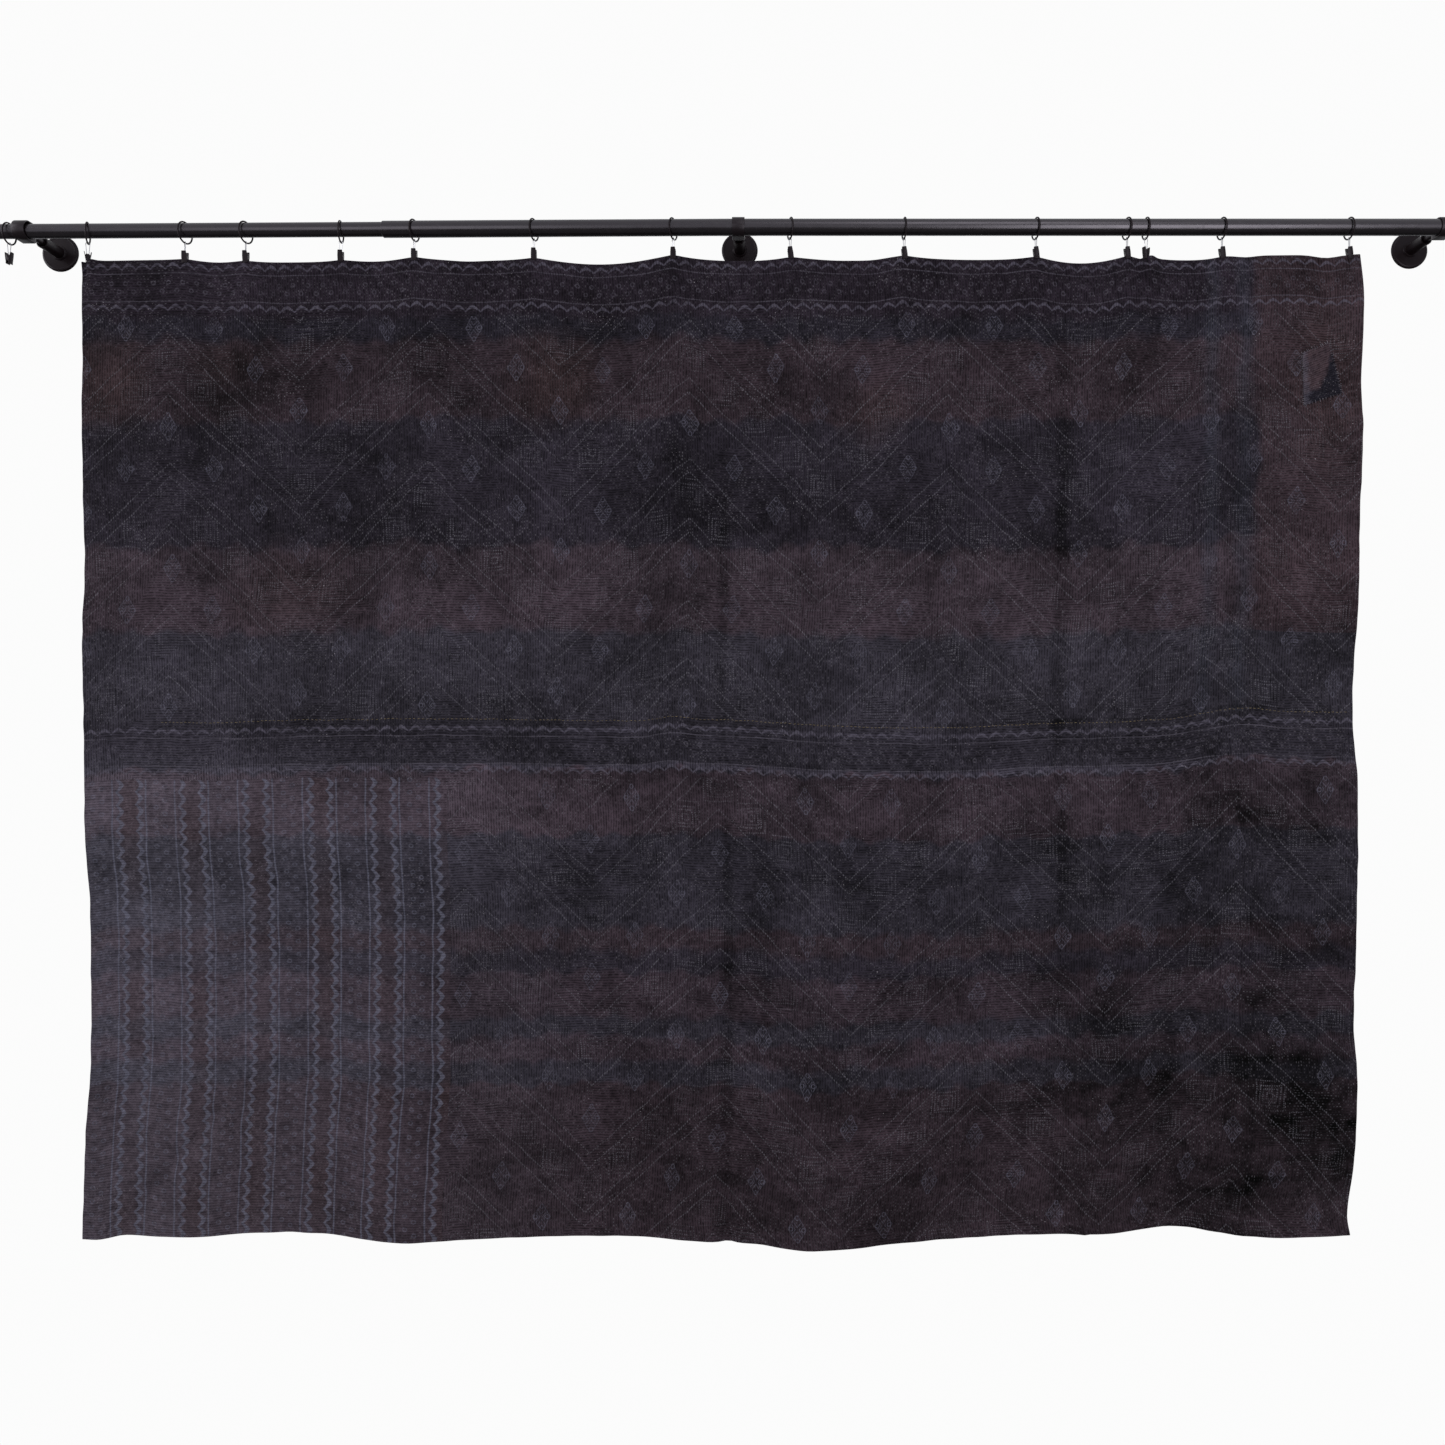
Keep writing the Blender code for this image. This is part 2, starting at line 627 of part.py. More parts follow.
def hang_clip_rings(home, dark, steel):
    places = [("free", FREE_RING_X, 0, 84)]
    for number, clip in enumerate(CLIPS, start=1):
        x = QUILT_LEFT_X + clip.along * MM
        places.append((f"{number:02d}", x, clip.ring_turn_deg, clip.clip_turn_deg))
    for name, x, ring_turn, clip_turn in places:
        ring_turn, clip_turn = math.radians(ring_turn), math.radians(clip_turn)
        make_ring(name, x, ring_turn, home, dark)
        make_link(name, x, ring_turn, clip_turn, home, steel)
        make_clip(name, x, clip_turn, home, dark)


def main():
    clear_scene()
    home = collection("kantha_quilt_on_curtain_rod")
    helpers = collection("cutters")
    helpers.hide_render = True
    black = material("satin_black_metal", (0.03, 0.03, 0.035), 0.4, 0.6)
    steel = material("bright_wire", (0.7, 0.7, 0.72), 0.3, 1.0)
    cloth = material("dyed_cotton", (0.06, 0.055, 0.075), 0.9)
    patch = material("patch_cotton", (0.09, 0.08, 0.11), 0.9)
    make_quilt(home, cloth)
    make_patch(home, patch)
    make_rod(home, helpers, black)
    make_end_caps(home, black)
    for bracket in BRACKETS:
        make_wall_plate(bracket, home, black)
        make_rod_holder(bracket, home, helpers, black)
    hang_clip_rings(home, black, steel)


main()
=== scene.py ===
# %% [markdown]
# # A kantha quilt on a curtain rod
# A kantha quilt is worn cotton cloth, printed and overdyed, then sewn together in layers with
# close rows of running stitch. This one hangs by clip rings from a black telescoping rod.
# The sizes are fixed by a plain model, which is loaded first. Each later cell makes one piece
# or one finish on top of it, and the plain pieces are hidden as the finished ones replace them.

# %% Load the fixed model
import math
import random
from collections import namedtuple
from functools import partialmethod

import bmesh
import bpy
from mathutils import Matrix, Vector, noise


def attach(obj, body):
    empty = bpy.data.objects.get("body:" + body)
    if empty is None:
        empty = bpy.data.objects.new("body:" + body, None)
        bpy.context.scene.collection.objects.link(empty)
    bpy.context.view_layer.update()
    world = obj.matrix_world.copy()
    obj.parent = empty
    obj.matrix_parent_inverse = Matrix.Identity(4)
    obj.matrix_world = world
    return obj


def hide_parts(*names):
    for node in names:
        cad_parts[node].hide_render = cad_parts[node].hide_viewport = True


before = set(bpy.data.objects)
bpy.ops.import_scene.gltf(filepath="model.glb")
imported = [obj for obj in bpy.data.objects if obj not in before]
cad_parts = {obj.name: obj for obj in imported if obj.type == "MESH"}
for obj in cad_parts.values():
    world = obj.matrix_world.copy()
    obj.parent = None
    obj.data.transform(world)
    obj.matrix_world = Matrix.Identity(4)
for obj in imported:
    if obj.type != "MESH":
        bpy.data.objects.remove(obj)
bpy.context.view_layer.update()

MM = 0.001
ROOT = "root"

# %% [markdown]
# The picture is square and looks straight at the wall, from the height of the quilt's middle.
# The lens is wide, so the rings at the sides open up to the eye. A small shift frames the
# object without tilting the camera, which keeps upright edges upright.

# %% The camera
CAMERA_PLACE = (0.042, -1.845, -0.731)
LENS_MM = 27.6
FRAME_SHIFT = (-0.0294, -0.0225)

bpy.ops.object.camera_add(location=CAMERA_PLACE, rotation=(math.radians(90), 0, 0))
camera = bpy.context.object
camera.name = "camera"
camera.data.lens = LENS_MM
camera.data.shift_x, camera.data.shift_y = FRAME_SHIFT
bpy.context.scene.camera = camera
bpy.context.scene.view_settings.view_transform = "Standard"
print("camera at", CAMERA_PLACE)

# %% [markdown]
# Near-black cloth and satin black metal only show their shape in large soft light, so most of
# it comes from the surroundings: bright above the horizon and dark below. The rod mirrors
# that edge as a line along its middle. Three windows in front of it, two at the right and one
# at the left, add the brighter stretches of the rod. A panel far to the left is out of the
# rod's mirror but rakes over the cloth, so that folds and ribs show, and a weak one keeps the
# back readable. What the camera sees past the object is plain white, and a Light Path node
# in the world tells the two apart.

# %% Soft light
Light = namedtuple("Light", "name place aim wide high watts")


def table(kind, *rows):
    """Rows of plain values as rows with named columns."""
    return tuple(kind(*row) for row in rows)


LIGHTS = table(
    Light,
    ("right_window", (1.66, -3, -0.8), (0.5, 0, -0.5), 1.1, 2.6, 37),
    ("upper_window", (0.95, -2.6, 2), (0.3, 0, 0), 1.2, 1.8, 12),
    ("left_window", (-1.45, -3, -0.2), (-0.5, 0, -0.2), 1.3, 2, 9),
    ("raking", (-4.7, -1.5, 0.7), (0.2, 0, -0.8), 2.6, 3.6, 102),
    ("behind", (0.3, 2.8, 0.9), (0, 0, -0.7), 2.4, 1.6, 10),
)
WORLD_ABOVE = 0.64
WORLD_BELOW = 0.05
HORIZON = (-0.42, -0.3)
WORLD_SEEN = 0.97
SKY_TONE = (0.95, 0.97, 1, 1)

for light in LIGHTS:
    bpy.ops.object.light_add(type="AREA", location=light.place)
    lamp = bpy.context.object
    lamp.name = light.name
    lamp.data.shape = "RECTANGLE"
    lamp.data.size, lamp.data.size_y, lamp.data.energy = light.wide, light.high, light.watts
    way = Vector(light.aim) - Vector(light.place)
    lamp.rotation_euler = way.to_track_quat("-Z", "Y").to_euler()


def build_world():
    world = bpy.data.worlds.new("studio")
    world.use_nodes = True
    nodes, links = world.node_tree.nodes, world.node_tree.links
    seen = nodes["Background"]
    seen.inputs["Color"].default_value = (1, 1, 1, 1)
    seen.inputs["Strength"].default_value = WORLD_SEEN
    way = nodes.new("ShaderNodeTexCoord")
    split = nodes.new("ShaderNodeSeparateXYZ")
    links.new(way.outputs["Generated"], split.inputs[0])
    fade = nodes.new("ShaderNodeMapRange")
    fade.inputs["From Min"].default_value, fade.inputs["From Max"].default_value = HORIZON
    fade.inputs["To Min"].default_value = WORLD_BELOW
    fade.inputs["To Max"].default_value = WORLD_ABOVE
    links.new(split.outputs["Z"], fade.inputs["Value"])
    cast = nodes.new("ShaderNodeBackground")
    cast.inputs["Color"].default_value = SKY_TONE
    links.new(fade.outputs[0], cast.inputs["Strength"])
    path = nodes.new("ShaderNodeLightPath")
    choose = nodes.new("ShaderNodeMixShader")
    links.new(path.outputs["Is Camera Ray"], choose.inputs[0])
    links.new(cast.outputs[0], choose.inputs[1])
    links.new(seen.outputs[0], choose.inputs[2])
    links.new(choose.outputs[0], nodes["World Output"].inputs["Surface"])
    bpy.context.scene.world = world


build_world()
print(len(LIGHTS), "soft lights")

# %% [markdown]
# The print, the stitching and the dye all follow simple rules, such as a distance from a line
# that repeats. A shader can work these out with Math nodes, but wiring dozens of them one by
# one is hard to read. This small class lets a node's value be used like a number, so that a
# rule is written as a formula and the nodes are made from it. Each of its operators is the
# one function that adds a Math node, with the operation filled in.

# %% Numbers that become nodes
NODES_IN_COLUMN = 8


def new_node(tree, kind, **settings):
    """Adds a node, laid out in columns so that the tree can be read in the editor."""
    node = tree.nodes.new(kind)
    count = len(tree.nodes)
    node.location = (180 * (count // NODES_IN_COLUMN), -190 * (count % NODES_IN_COLUMN))
    for key, value in settings.items():
        setattr(node, key, value)
    return node


class Number:
    """The value of a socket, with arithmetic that adds Math nodes."""

    def __init__(self, tree, socket):
        self.tree = tree
        self.socket = socket

    def math(self, operation, *others):
        node = new_node(self.tree, "ShaderNodeMath", operation=operation)
        for socket, value in zip(node.inputs, (self, *others)):
            feed(self.tree, socket, value)
        return Number(self.tree, node.outputs[0])

    __add__ = partialmethod(math, "ADD")
    __sub__ = partialmethod(math, "SUBTRACT")
    __mul__ = partialmethod(math, "MULTIPLY")
    __truediv__ = partialmethod(math, "DIVIDE")
    size = partialmethod(math, "ABSOLUTE")
    most = partialmethod(math, "MAXIMUM")
    above = partialmethod(math, "GREATER_THAN")
    below = partialmethod(math, "LESS_THAN")
    to_and_fro = partialmethod(math, "PINGPONG")

    def nearest(self, pitch):
        """Offset from the nearest of a row of marks that lie a pitch apart."""
        return self.math("WRAP", pitch / 2, -pitch / 2)

    def rise(self, zero_at, one_at):
        """0 up to one place, 1 from another, and even between them."""
        node = new_node(self.tree, "ShaderNodeMapRange", clamp=True)
        feed(self.tree, node.inputs["Value"], self)
        node.inputs["From Min"].default_value = zero_at
        node.inputs["From Max"].default_value = one_at
        return Number(self.tree, node.outputs[0])

    def stroke(self, half, blur=0.5):
        """1 within half a line's width of zero, fading out over the blur on both sides."""
        return self.size().rise(half + blur, half - blur)


def feed(tree, socket, value):
    """Sets a socket to a plain value, or links it to a Number or to another socket."""
    if isinstance(value, Number):
        value = value.socket
    if isinstance(value, bpy.types.NodeSocket):
        tree.links.new(value, socket)
    else:
        socket.default_value = value


def mixed(share, first, second):
    return first + (second - first) * share


def far(x, y):
    """Distance of a point from the origin."""
    return (x * x + y * y).math("SQRT")


def vector(x, y, z=0.0):
    node = new_node(x.tree, "ShaderNodeCombineXYZ")
    for socket, value in zip(node.inputs, (x, y, z)):
        feed(x.tree, socket, value)
    return node.outputs[0]


def cloudy(u, v, size, detail=2.0, layer=0.0):
    """Smooth noise from about -0.5 to 0.5, in patches of a size."""
    node = new_node(u.tree, "ShaderNodeTexNoise")
    feed(u.tree, node.inputs["Vector"], vector(u / size, v / size, layer))
    node.inputs["Scale"].default_value = 1
    node.inputs["Detail"].default_value = detail
    return Number(u.tree, node.outputs["Fac"]) * 1.6 - 0.8


def scattered(x, y):
    """A random value from 0 to 1 for each pair of whole numbers."""
    node = new_node(x.tree, "ShaderNodeTexWhiteNoise", noise_dimensions="3D")
    feed(x.tree, node.inputs["Vector"], vector(x, y))
    return Number(x.tree, node.outputs["Value"])


def blended(tree, share, first, second):
    """One colour turned into another. A colour is a socket or three values."""
    node = new_node(tree, "ShaderNodeMix", data_type="RGBA")
    feed(tree, node.inputs[0], share)
    for socket, colour in ((node.inputs[6], first), (node.inputs[7], second)):
        feed(tree, socket, (*colour, 1) if isinstance(colour, tuple) else colour)
    return node.outputs[2]


def scaled(tree, colour, factor):
    """A colour made lighter or darker."""
    node = new_node(tree, "ShaderNodeVectorMath", operation="SCALE")
    feed(tree, node.inputs[0], colour)
    feed(tree, node.inputs["Scale"], factor)
    return node.outputs[0]


def ramp(value, stops):
    """A colour that changes with a value, from rows of (place, colour)."""
    node = new_node(value.tree, "ShaderNodeValToRGB")
    elements = node.color_ramp.elements
    while len(elements) < len(stops):
        elements.new(1)
    for element, (place, colour) in zip(elements, stops):
        element.position = place
        element.color = (*colour, 1)
    feed(value.tree, node.inputs[0], value)
    return node.outputs[0]


def shown(red, green, blue):
    """The light that a colour sends back, from the 0 to 255 numbers that a screen shows."""
    return tuple(((part / 255 + 0.055) / 1.055) ** 2.4 for part in (red, green, blue))


print("node helpers are ready")

# %% [markdown]
# An effect that several materials share is a node group: it has named inputs and outputs, is
# built once, and is placed wherever it is needed.

# %% Node groups


def new_group(name, *inputs):
    """A group of nodes, and its input values in order."""
    tree = bpy.data.node_groups.new(name, "ShaderNodeTree")
    for title in inputs:
        tree.interface.new_socket(title, in_out="INPUT", socket_type="NodeSocketFloat")
    given = new_node(tree, "NodeGroupInput")
    return tree, [Number(tree, given.outputs[title]) for title in inputs]


def put_out(tree, kind="Float", **values):
    """Gives a group its outputs, feeds them and returns the group."""
    for title in values:
        tree.interface.new_socket(title, in_out="OUTPUT", socket_type=f"NodeSocket{kind}")
    out = new_node(tree, "NodeGroupOutput")
    for title, value in values.items():
        feed(tree, out.inputs[title], value)
    return tree


def use_group(tree, group, *values):
    """Places a group in a tree, feeds its inputs in order and returns the node."""
    node = new_node(tree, "ShaderNodeGroup", node_tree=group)
    for socket, value in zip(node.inputs, values):
        feed(tree, socket, value)
    return node


def out_of(node, title):
    return Number(node.id_data, node.outputs[title])


print("groups can be built")

# %% [markdown]
# All patterns on the quilt are laid out on the flat cloth, before it hung in folds. A map
# named cloth, made with the mesh later, tells the shader where a spot lies: along from the
# left edge and down from the top one. The helper turns it into millimetres, because the print
# was measured in those.

# %% Places on the cloth
CLOTH_MAP = "cloth"


def cloth_place(tree):
    place = new_node(tree, "ShaderNodeUVMap", uv_map=CLOTH_MAP)
    split = new_node(tree, "ShaderNodeSeparateXYZ")
    tree.links.new(place.outputs[0], split.inputs[0])
    along, down = (Number(tree, split.outputs[i]) * 1000 for i in range(2))
    return along, down


print("the cloth's own map is", CLOTH_MAP)

# %% [markdown]
# The border strip is the print's frame: two wavy lines on the outside, two thin lines inside
# them, and two staggered rows of small rings between. Each wave is a row of humps, thick on
# top and thin between them, and all humps point the same way, as they come from one
# block. The same strip runs level along the top and below the seam, and, with a bolder wave,
# upright in the striped end panel.

# %% The border strip
WAVE_PERIOD = 22.4
WAVE_OUT = 32.2
WAVE_REACH = 3.9
LINE_OUT = 21.8
RINGLET_OUT = 6.5
RINGLET_PITCH = 22.1
RINGLET_STAGGER = 9.7
RINGLET_RADIUS = 2.9
HUMP_HALF = 1.5
THIN_HALF = 0.75
BOLD_HALF = 0.9


def build_border_strip():
    tree, (along, across, bold) = new_group("border_strip", "Along", "Across", "Bold")
    side = across.above(0) * 2 - 1
    slant = along.to_and_fro(WAVE_PERIOD / 2) / (WAVE_PERIOD / 2)
    hump = slant * (slant * -0.6 + 1.6)
    from_wave = (across - side * WAVE_OUT + (hump * 2 - 1) * WAVE_REACH).size()
    wave = (from_wave - hump * HUMP_HALF - bold * BOLD_HALF - THIN_HALF).rise(1.0, -0.4)
    beside = across.size()
    line = ((beside - LINE_OUT).size() - bold * 0.45).rise(1.3, -0.1)
    staggered = along + side * (RINGLET_STAGGER / 2)
    from_centre = far(staggered.nearest(RINGLET_PITCH), beside - RINGLET_OUT)
    ringlet = (from_centre - RINGLET_RADIUS).stroke(0.7, 0.7)
    return put_out(tree, Wave=wave, Fine=line.most(ringlet * 0.7))


BORDER_STRIP = build_border_strip()
print("border strip:", len(BORDER_STRIP.nodes), "nodes")

# %% [markdown]
# The lozenge is the field's small motif: a slanted frame filled by a cross of double lines,
# with a loop in each of its four corners. Folding the place about both axes leaves one quarter
# to draw. A faint fill stands for the worn paste between the lines.

# %% The lozenge
LOZENGE_HALF = (14.5, 23.5)
END_LOOP = (17.5, 3.4)
SIDE_LOOP = (9.2, 3.0)
ARM_SLANT = 1.4
ARM_APART = 3.6
LINE_HALF = 0.6


def build_lozenge():
    tree, (x, y) = new_group("lozenge", "X", "Y")
    beside, off = x.size(), y.size()
    edge = beside / LOZENGE_HALF[0] + off / LOZENGE_HALF[1]
    inside = edge.rise(1.02, 0.94)
    end = (far(beside * 1.3, off - END_LOOP[0]) - END_LOOP[1]).stroke(LINE_HALF)
    side = (far(beside - SIDE_LOOP[0], off) - SIDE_LOOP[1]).stroke(LINE_HALF)
    arms = ((beside * ARM_SLANT - off).size() - ARM_APART).stroke(LINE_HALF, 0.6)
    arms = arms * (edge - 0.45).stroke(0.42, 0.04)
    outline = (edge - 0.96).stroke(0.03, 0.04) * off.below(END_LOOP[0])
    return put_out(tree, Mask=end.most(side).most(arms).most(outline).most(inside * 0.06))


LOZENGE = build_lozenge()
print("lozenge:", len(LOZENGE.nodes), "nodes")

# %% [markdown]
# The field is a broad zigzag that repeats down the cloth. Each repeat has a line of lozenges,
# a double dotted line, a band of nested dotted squares, and a second double dotted line. The
# lozenges and squares stand upright although the band slants, so their height is read at the
# middle of their own column. The block was set down by hand, so nothing is quite
# straight. The lower half was cut from another length of the same cloth, so its zigzag is
# shifted.

# %% The zigzag field
SEAM_DROP = 730.0
ZIGZAG_HALF = 204.5
ZIGZAG_FALL = 197.5
ZIGZAG_REPEAT = 222.0
APEX_ALONG = 137.5
APEX_DOWN = 39.5
LOWER_SHIFT = (47.5, 10.0)
DOTTED_LINES = (57, 79, 150, 172)
FRET_MIDDLE = 114.5
FRET_PITCH = ZIGZAG_HALF / 4
FRET_SQUARES = (4.5, 10.5, 15.5)
FRET_FRAME = (21, 23.5)
DOT_PITCH = 3.4


def dots(place):
    return place.to_and_fro(DOT_PITCH / 2).rise(1.2, 0.5)


def stepped(along, pitch):
    """The zigzag's fall, read at the middle of each column of a width."""
    column = (along / pitch).math("ROUND") * pitch
    return column.to_and_fro(ZIGZAG_HALF) * (ZIGZAG_FALL / ZIGZAG_HALF)


def build_zigzag_field():
    tree, (u, v) = new_group("zigzag_field", "U", "V")
    lower = v.above(SEAM_DROP)
    along = u - APEX_ALONG - lower * LOWER_SHIFT[0] + cloudy(u, v, 260, 1) * 9
    down = v - APEX_DOWN - lower * LOWER_SHIFT[1] + cloudy(u, v, 240, 1, 7) * 8
    along = along + cloudy(u, v, 34, 1, 31) * 3.4
    down = down + cloudy(u, v, 31, 1, 32) * 3.4
    below_row = down - along.to_and_fro(ZIGZAG_HALF) * (ZIGZAG_FALL / ZIGZAG_HALF)
    within = below_row.math("WRAP", ZIGZAG_REPEAT, 0)
    lines, *rest = [(within - at).stroke(0.9, 0.9) for at in DOTTED_LINES]
    for line in rest:
        lines = lines.most(line)

    third = ZIGZAG_HALF / 3
    drop = (down - stepped(along, third)).nearest(ZIGZAG_REPEAT)
    lozenge = out_of(use_group(tree, LOZENGE, along.nearest(third), drop), "Mask")

    x = along.nearest(FRET_PITCH).size()
    y = (down - stepped(along, FRET_PITCH) - FRET_MIDDLE).nearest(ZIGZAG_REPEAT).size()
    wide, high = FRET_FRAME
    fret = (x - wide).stroke(0.7) * y.below(high + 1)
    fret = fret.most((y - high).stroke(0.7) * x.below(wide))
    for half in FRET_SQUARES:
        fret = fret.most((x.most(y) - half).stroke(0.8))
    upright = x.above(y)
    fret = fret * mixed(upright, dots(along), dots(down)) * (within - FRET_MIDDLE).stroke(33, 2)
    patchy = cloudy(u, v, 42, 2, 33).rise(-0.3, 0.3)
    return put_out(tree, Mask=lozenge, Lines=lines * dots(along), Frets=fret * patchy)


ZIGZAG_FIELD = build_zigzag_field()
print("zigzag field:", len(ZIGZAG_FIELD.nodes), "nodes")

# %% [markdown]
# The whole print puts these parts in their places: border strips at the top and below the
# seam, upright strips in the end panel at the lower left, and the field everywhere else. The
# print is block work on old cloth, so it is stronger in some patches and worn away in others.

# %% The whole print
STRIP_MIDDLE = 43.2
STRIP_WIDTH = 87.0
LOWER_STRIP_AT = 731.5
PANEL_WIDTH = 573.0
PANEL_BAND_AT = 71.1
PANEL_PITCH = 100.2
PANEL_BAND_HALF = 15.9
PANEL_STRETCH = 1.07
PANEL_CLOSER = 1.07


def build_print():
    tree, _ = new_group("print")
    u, v = cloth_place(tree)
    upper = v.below(STRIP_WIDTH)
    lower = v.above(LOWER_STRIP_AT - 3) * v.below(LOWER_STRIP_AT + STRIP_WIDTH)
    panel = v.above(LOWER_STRIP_AT + STRIP_WIDTH) * u.below(PANEL_WIDTH)
    panel_across = (u - PANEL_BAND_AT - PANEL_PITCH / 2).nearest(PANEL_PITCH) / -PANEL_STRETCH
    strip_across = v - STRIP_MIDDLE - v.above(SEAM_DROP / 2) * LOWER_STRIP_AT
    along = mixed(panel, u, v * PANEL_CLOSER) + cloudy(u, v, 90, 1, 3) * 5
    across = mixed(panel, strip_across, panel_across) + cloudy(u, v, 60, 1, 5) * 2.6
    framing = use_group(tree, BORDER_STRIP, along, across, panel)
    field = use_group(tree, ZIGZAG_FIELD, u, v)
    framed = upper.most(lower).most(panel)
    open_field = framed * -1 + 1
    wear = cloudy(u, v, 55, 3, 9)
    worn = (wear + 0.95 + panel * 0.2).rise(0.1, 1.1)
    dotted = out_of(field, "Lines").most(out_of(field, "Frets"))
    band = (u - PANEL_BAND_AT).nearest(PANEL_PITCH).stroke(PANEL_BAND_HALF, 2) * panel
    return put_out(
        tree,
        Wave=out_of(framing, "Wave") * framed * worn,
        Fine=out_of(framing, "Fine") * framed * worn,
        Motif=out_of(field, "Mask") * open_field * wear.rise(-0.6, 0.2),
        Dotted=dotted * open_field * worn,
        Panel=panel,
        Band=band * cloudy(u, v, 160, 2, 45).rise(-0.35, 0.3),
    )


PRINT = build_print()
print("print:", len(PRINT.nodes), "nodes")

# %% [markdown]
# Rows of running stitch hold the layers together and draw the cloth into fine ribs, with the
# thread showing as dashes in the grooves. On this quilt the sewer changed direction: the rows
# run level at the top border's left end, in the end panel and in lozenge-shaped patches of
# the field, and upright between them. The group gives the rib's height, a grain that
# makes each stitch's small hump a little lighter or darker than the next, the dashes, which
# stand out more in some patches, and some pale lint.

# %% The quilting rows
ROW_PITCH = 4.1
STITCH_PITCH = 5.2
Patches = namedtuple("Patches", "along down pitch_along pitch_down half_along half_down")
LEVEL_PATCHES = Patches(139, 143, 224, 205, 90, 76)


def build_rows():
    tree, (u, v, level) = new_group("quilting_rows", "U", "V", "Level")
    wander = cloudy(u, v, 75, 1, 2) * 4.5 + cloudy(u, v, 17, 1, 4) * 1.6
    across = mixed(level, u, v) + wander
    along = mixed(level, v, u)
    crest = across.to_and_fro(ROW_PITCH / 2) / (ROW_PITCH / 2)
    row = (across / ROW_PITCH).math("ROUND")
    step = along / STITCH_PITCH + scattered(row, row) * 7
    stitch = step.math("FLOOR")
    grain = scattered(row, stitch + level * 50)
    dash = (step - stitch - 0.5).stroke(0.26, 0.12) * crest.rise(0.42, 0.1)
    bright_patch = cloudy(u, v, 80, 4, 12).rise(-0.2, 0.4) * 0.7 + 0.3
    shade = grain * grain * bright_patch
    lint = cloudy(u, v, 2.6, 1, 6).rise(0.3, 0.4) * cloudy(u, v, 60, 2, 14).rise(0.05, 0.3)
    height = crest * (crest * -1 + 2) - dash * 0.1
    return put_out(tree, Height=height, Grain=grain, Thread=dash * shade, Lint=lint)


def level_patches(u, v):
    """1 where the rows run level: in patches of the field and at the top border's left end."""
    patch = LEVEL_PATCHES
    x = (u - patch.along + cloudy(u, v, 130, 2, 8) * 90).nearest(patch.pitch_along).size()
    y = (v - patch.down + cloudy(u, v, 120, 2, 1) * 80).nearest(patch.pitch_down).size()
    border_end = v.below(STRIP_WIDTH) * (u + cloudy(u, v, 60, 1, 18) * 200).below(250)
    return (x / patch.half_along + y / patch.half_down).below(1).most(border_end)


ROWS = build_rows()
print("quilting rows:", len(ROWS.nodes), "nodes")

# %% [markdown]
# The quilt was dyed over its print in a near-black bath, so the old blue and brown bands still
# show through as navy, charcoal and reddish black. The bands are a ramp down the cloth, read
# with a wavering height so that their edges scallop. Two tables of soft patches, placed one by
# one, add what is not regular. The clouds make the cloth lighter or darker: worn pale places,
# the dark lower right and a paler line along one crease, and they also hold painted shade: dark
# lines along the creases and a painted shadow line above the seam's right part. The stains turn
# it rusty. In both, the last number is the strength.

# %% The dye, with painted crease and seam shade
DROP = 1545.0
WIDTH = 2013.0
NAVY = shown(34, 31, 39)
REDDISH = shown(46, 37, 43)
PALE_RED = shown(54, 45, 52)
SEAM_RED = shown(52, 43, 50)
LOW_RED = shown(49, 40, 47)
CHARCOAL = shown(38, 34, 42)
BLUE_GREY = shown(46, 43, 51)
MID_NAVY = shown(42, 39, 47)
EDGE_DARK = shown(35, 29, 37)
DYE_BANDS = (
    (0, EDGE_DARK), (91, NAVY), (127, REDDISH), (252, CHARCOAL), (452, PALE_RED),
    (586, BLUE_GREY), (730, MID_NAVY), (806, SEAM_RED), (908, MID_NAVY), (1057, REDDISH),
    (1092, CHARCOAL), (1127, LOW_RED), (1196, MID_NAVY), (1230, LOW_RED), (1266, MID_NAVY),
    (1300, REDDISH),
)
BAND_BLUR = 3
BLUISH = shown(46, 47, 56)
COLUMNS_AT = 1802
COLUMNS_APART = 26
SCALLOP_HALF = 27
RIGHT_RED_FADE = (1842, 1856)
RIGHT_RED_FOOT = 600
PALE_DROP_FADE = (SEAM_DROP + 40, SEAM_DROP + 95)
PALE_ALONG_FADE = (860, 120)
DARKEST = -0.4
DYE_LEVEL = 0.93
RUSTY = shown(56, 42, 42)
RIGHT_RED = shown(55, 43, 48)
PALE_GREY = shown(62, 61, 69)
Cloud = namedtuple("Cloud", "along drop half_along half_drop strength")
# Among these, the rows at along 1011, 1014 and 1545 are painted shade along the creases there, and
# the row at drop 723 is a painted shadow line above the seam's right part.
TONE_AND_PAINTED_SHADE_CLOUDS = table(
    Cloud, (1675, 335, 120, 120, 0.34), (640, 345, 140, 110, 0.14), (980, 345, 230, 100, -0.16),
    (1530, 425, 60, 60, -0.3), (724, 420, 16, 260, 0.22), (230, 768, 380, 26, 0.4),
    (1000, 801, 1050, 5, 0.8), (1000, 741, 1050, 4, 0.5), (1011, 530, 12, 230, -0.35),
    (1014, 1150, 14, 420, -0.35), (1545, 540, 16, 560, -0.35), (1360, 180, 190, 70, 0.18),
    (1820, 1250, 420, 380, -0.3), (1840, 1390, 230, 140, -0.3), (620, 870, 330, 50, 0.18),
    (60, 880, 90, 60, 0.1), (110, 1180, 120, 160, 0.2), (330, 185, 330, 65, -0.25),
    (470, 290, 130, 45, -0.33), (110, 690, 230, 80, 0.33), (150, 950, 260, 65, -0.6),
    (400, 985, 160, 45, -0.3), (1880, 640, 170, 80, -0.22), (1870, 870, 200, 100, -0.22),
    (1640, 723, 420, 4, -0.25), (1370, 1305, 160, 60, -0.15),
)
STAINS = table(
    Cloud, (40, 190, 80, 80, 0.45), (230, 160, 60, 40, 0.3), (740, 190, 80, 80, 0.5),
    (330, 520, 120, 80, 0.3), (1250, 240, 60, 60, 0.3), (1960, 200, 70, 170, 0.3),
)


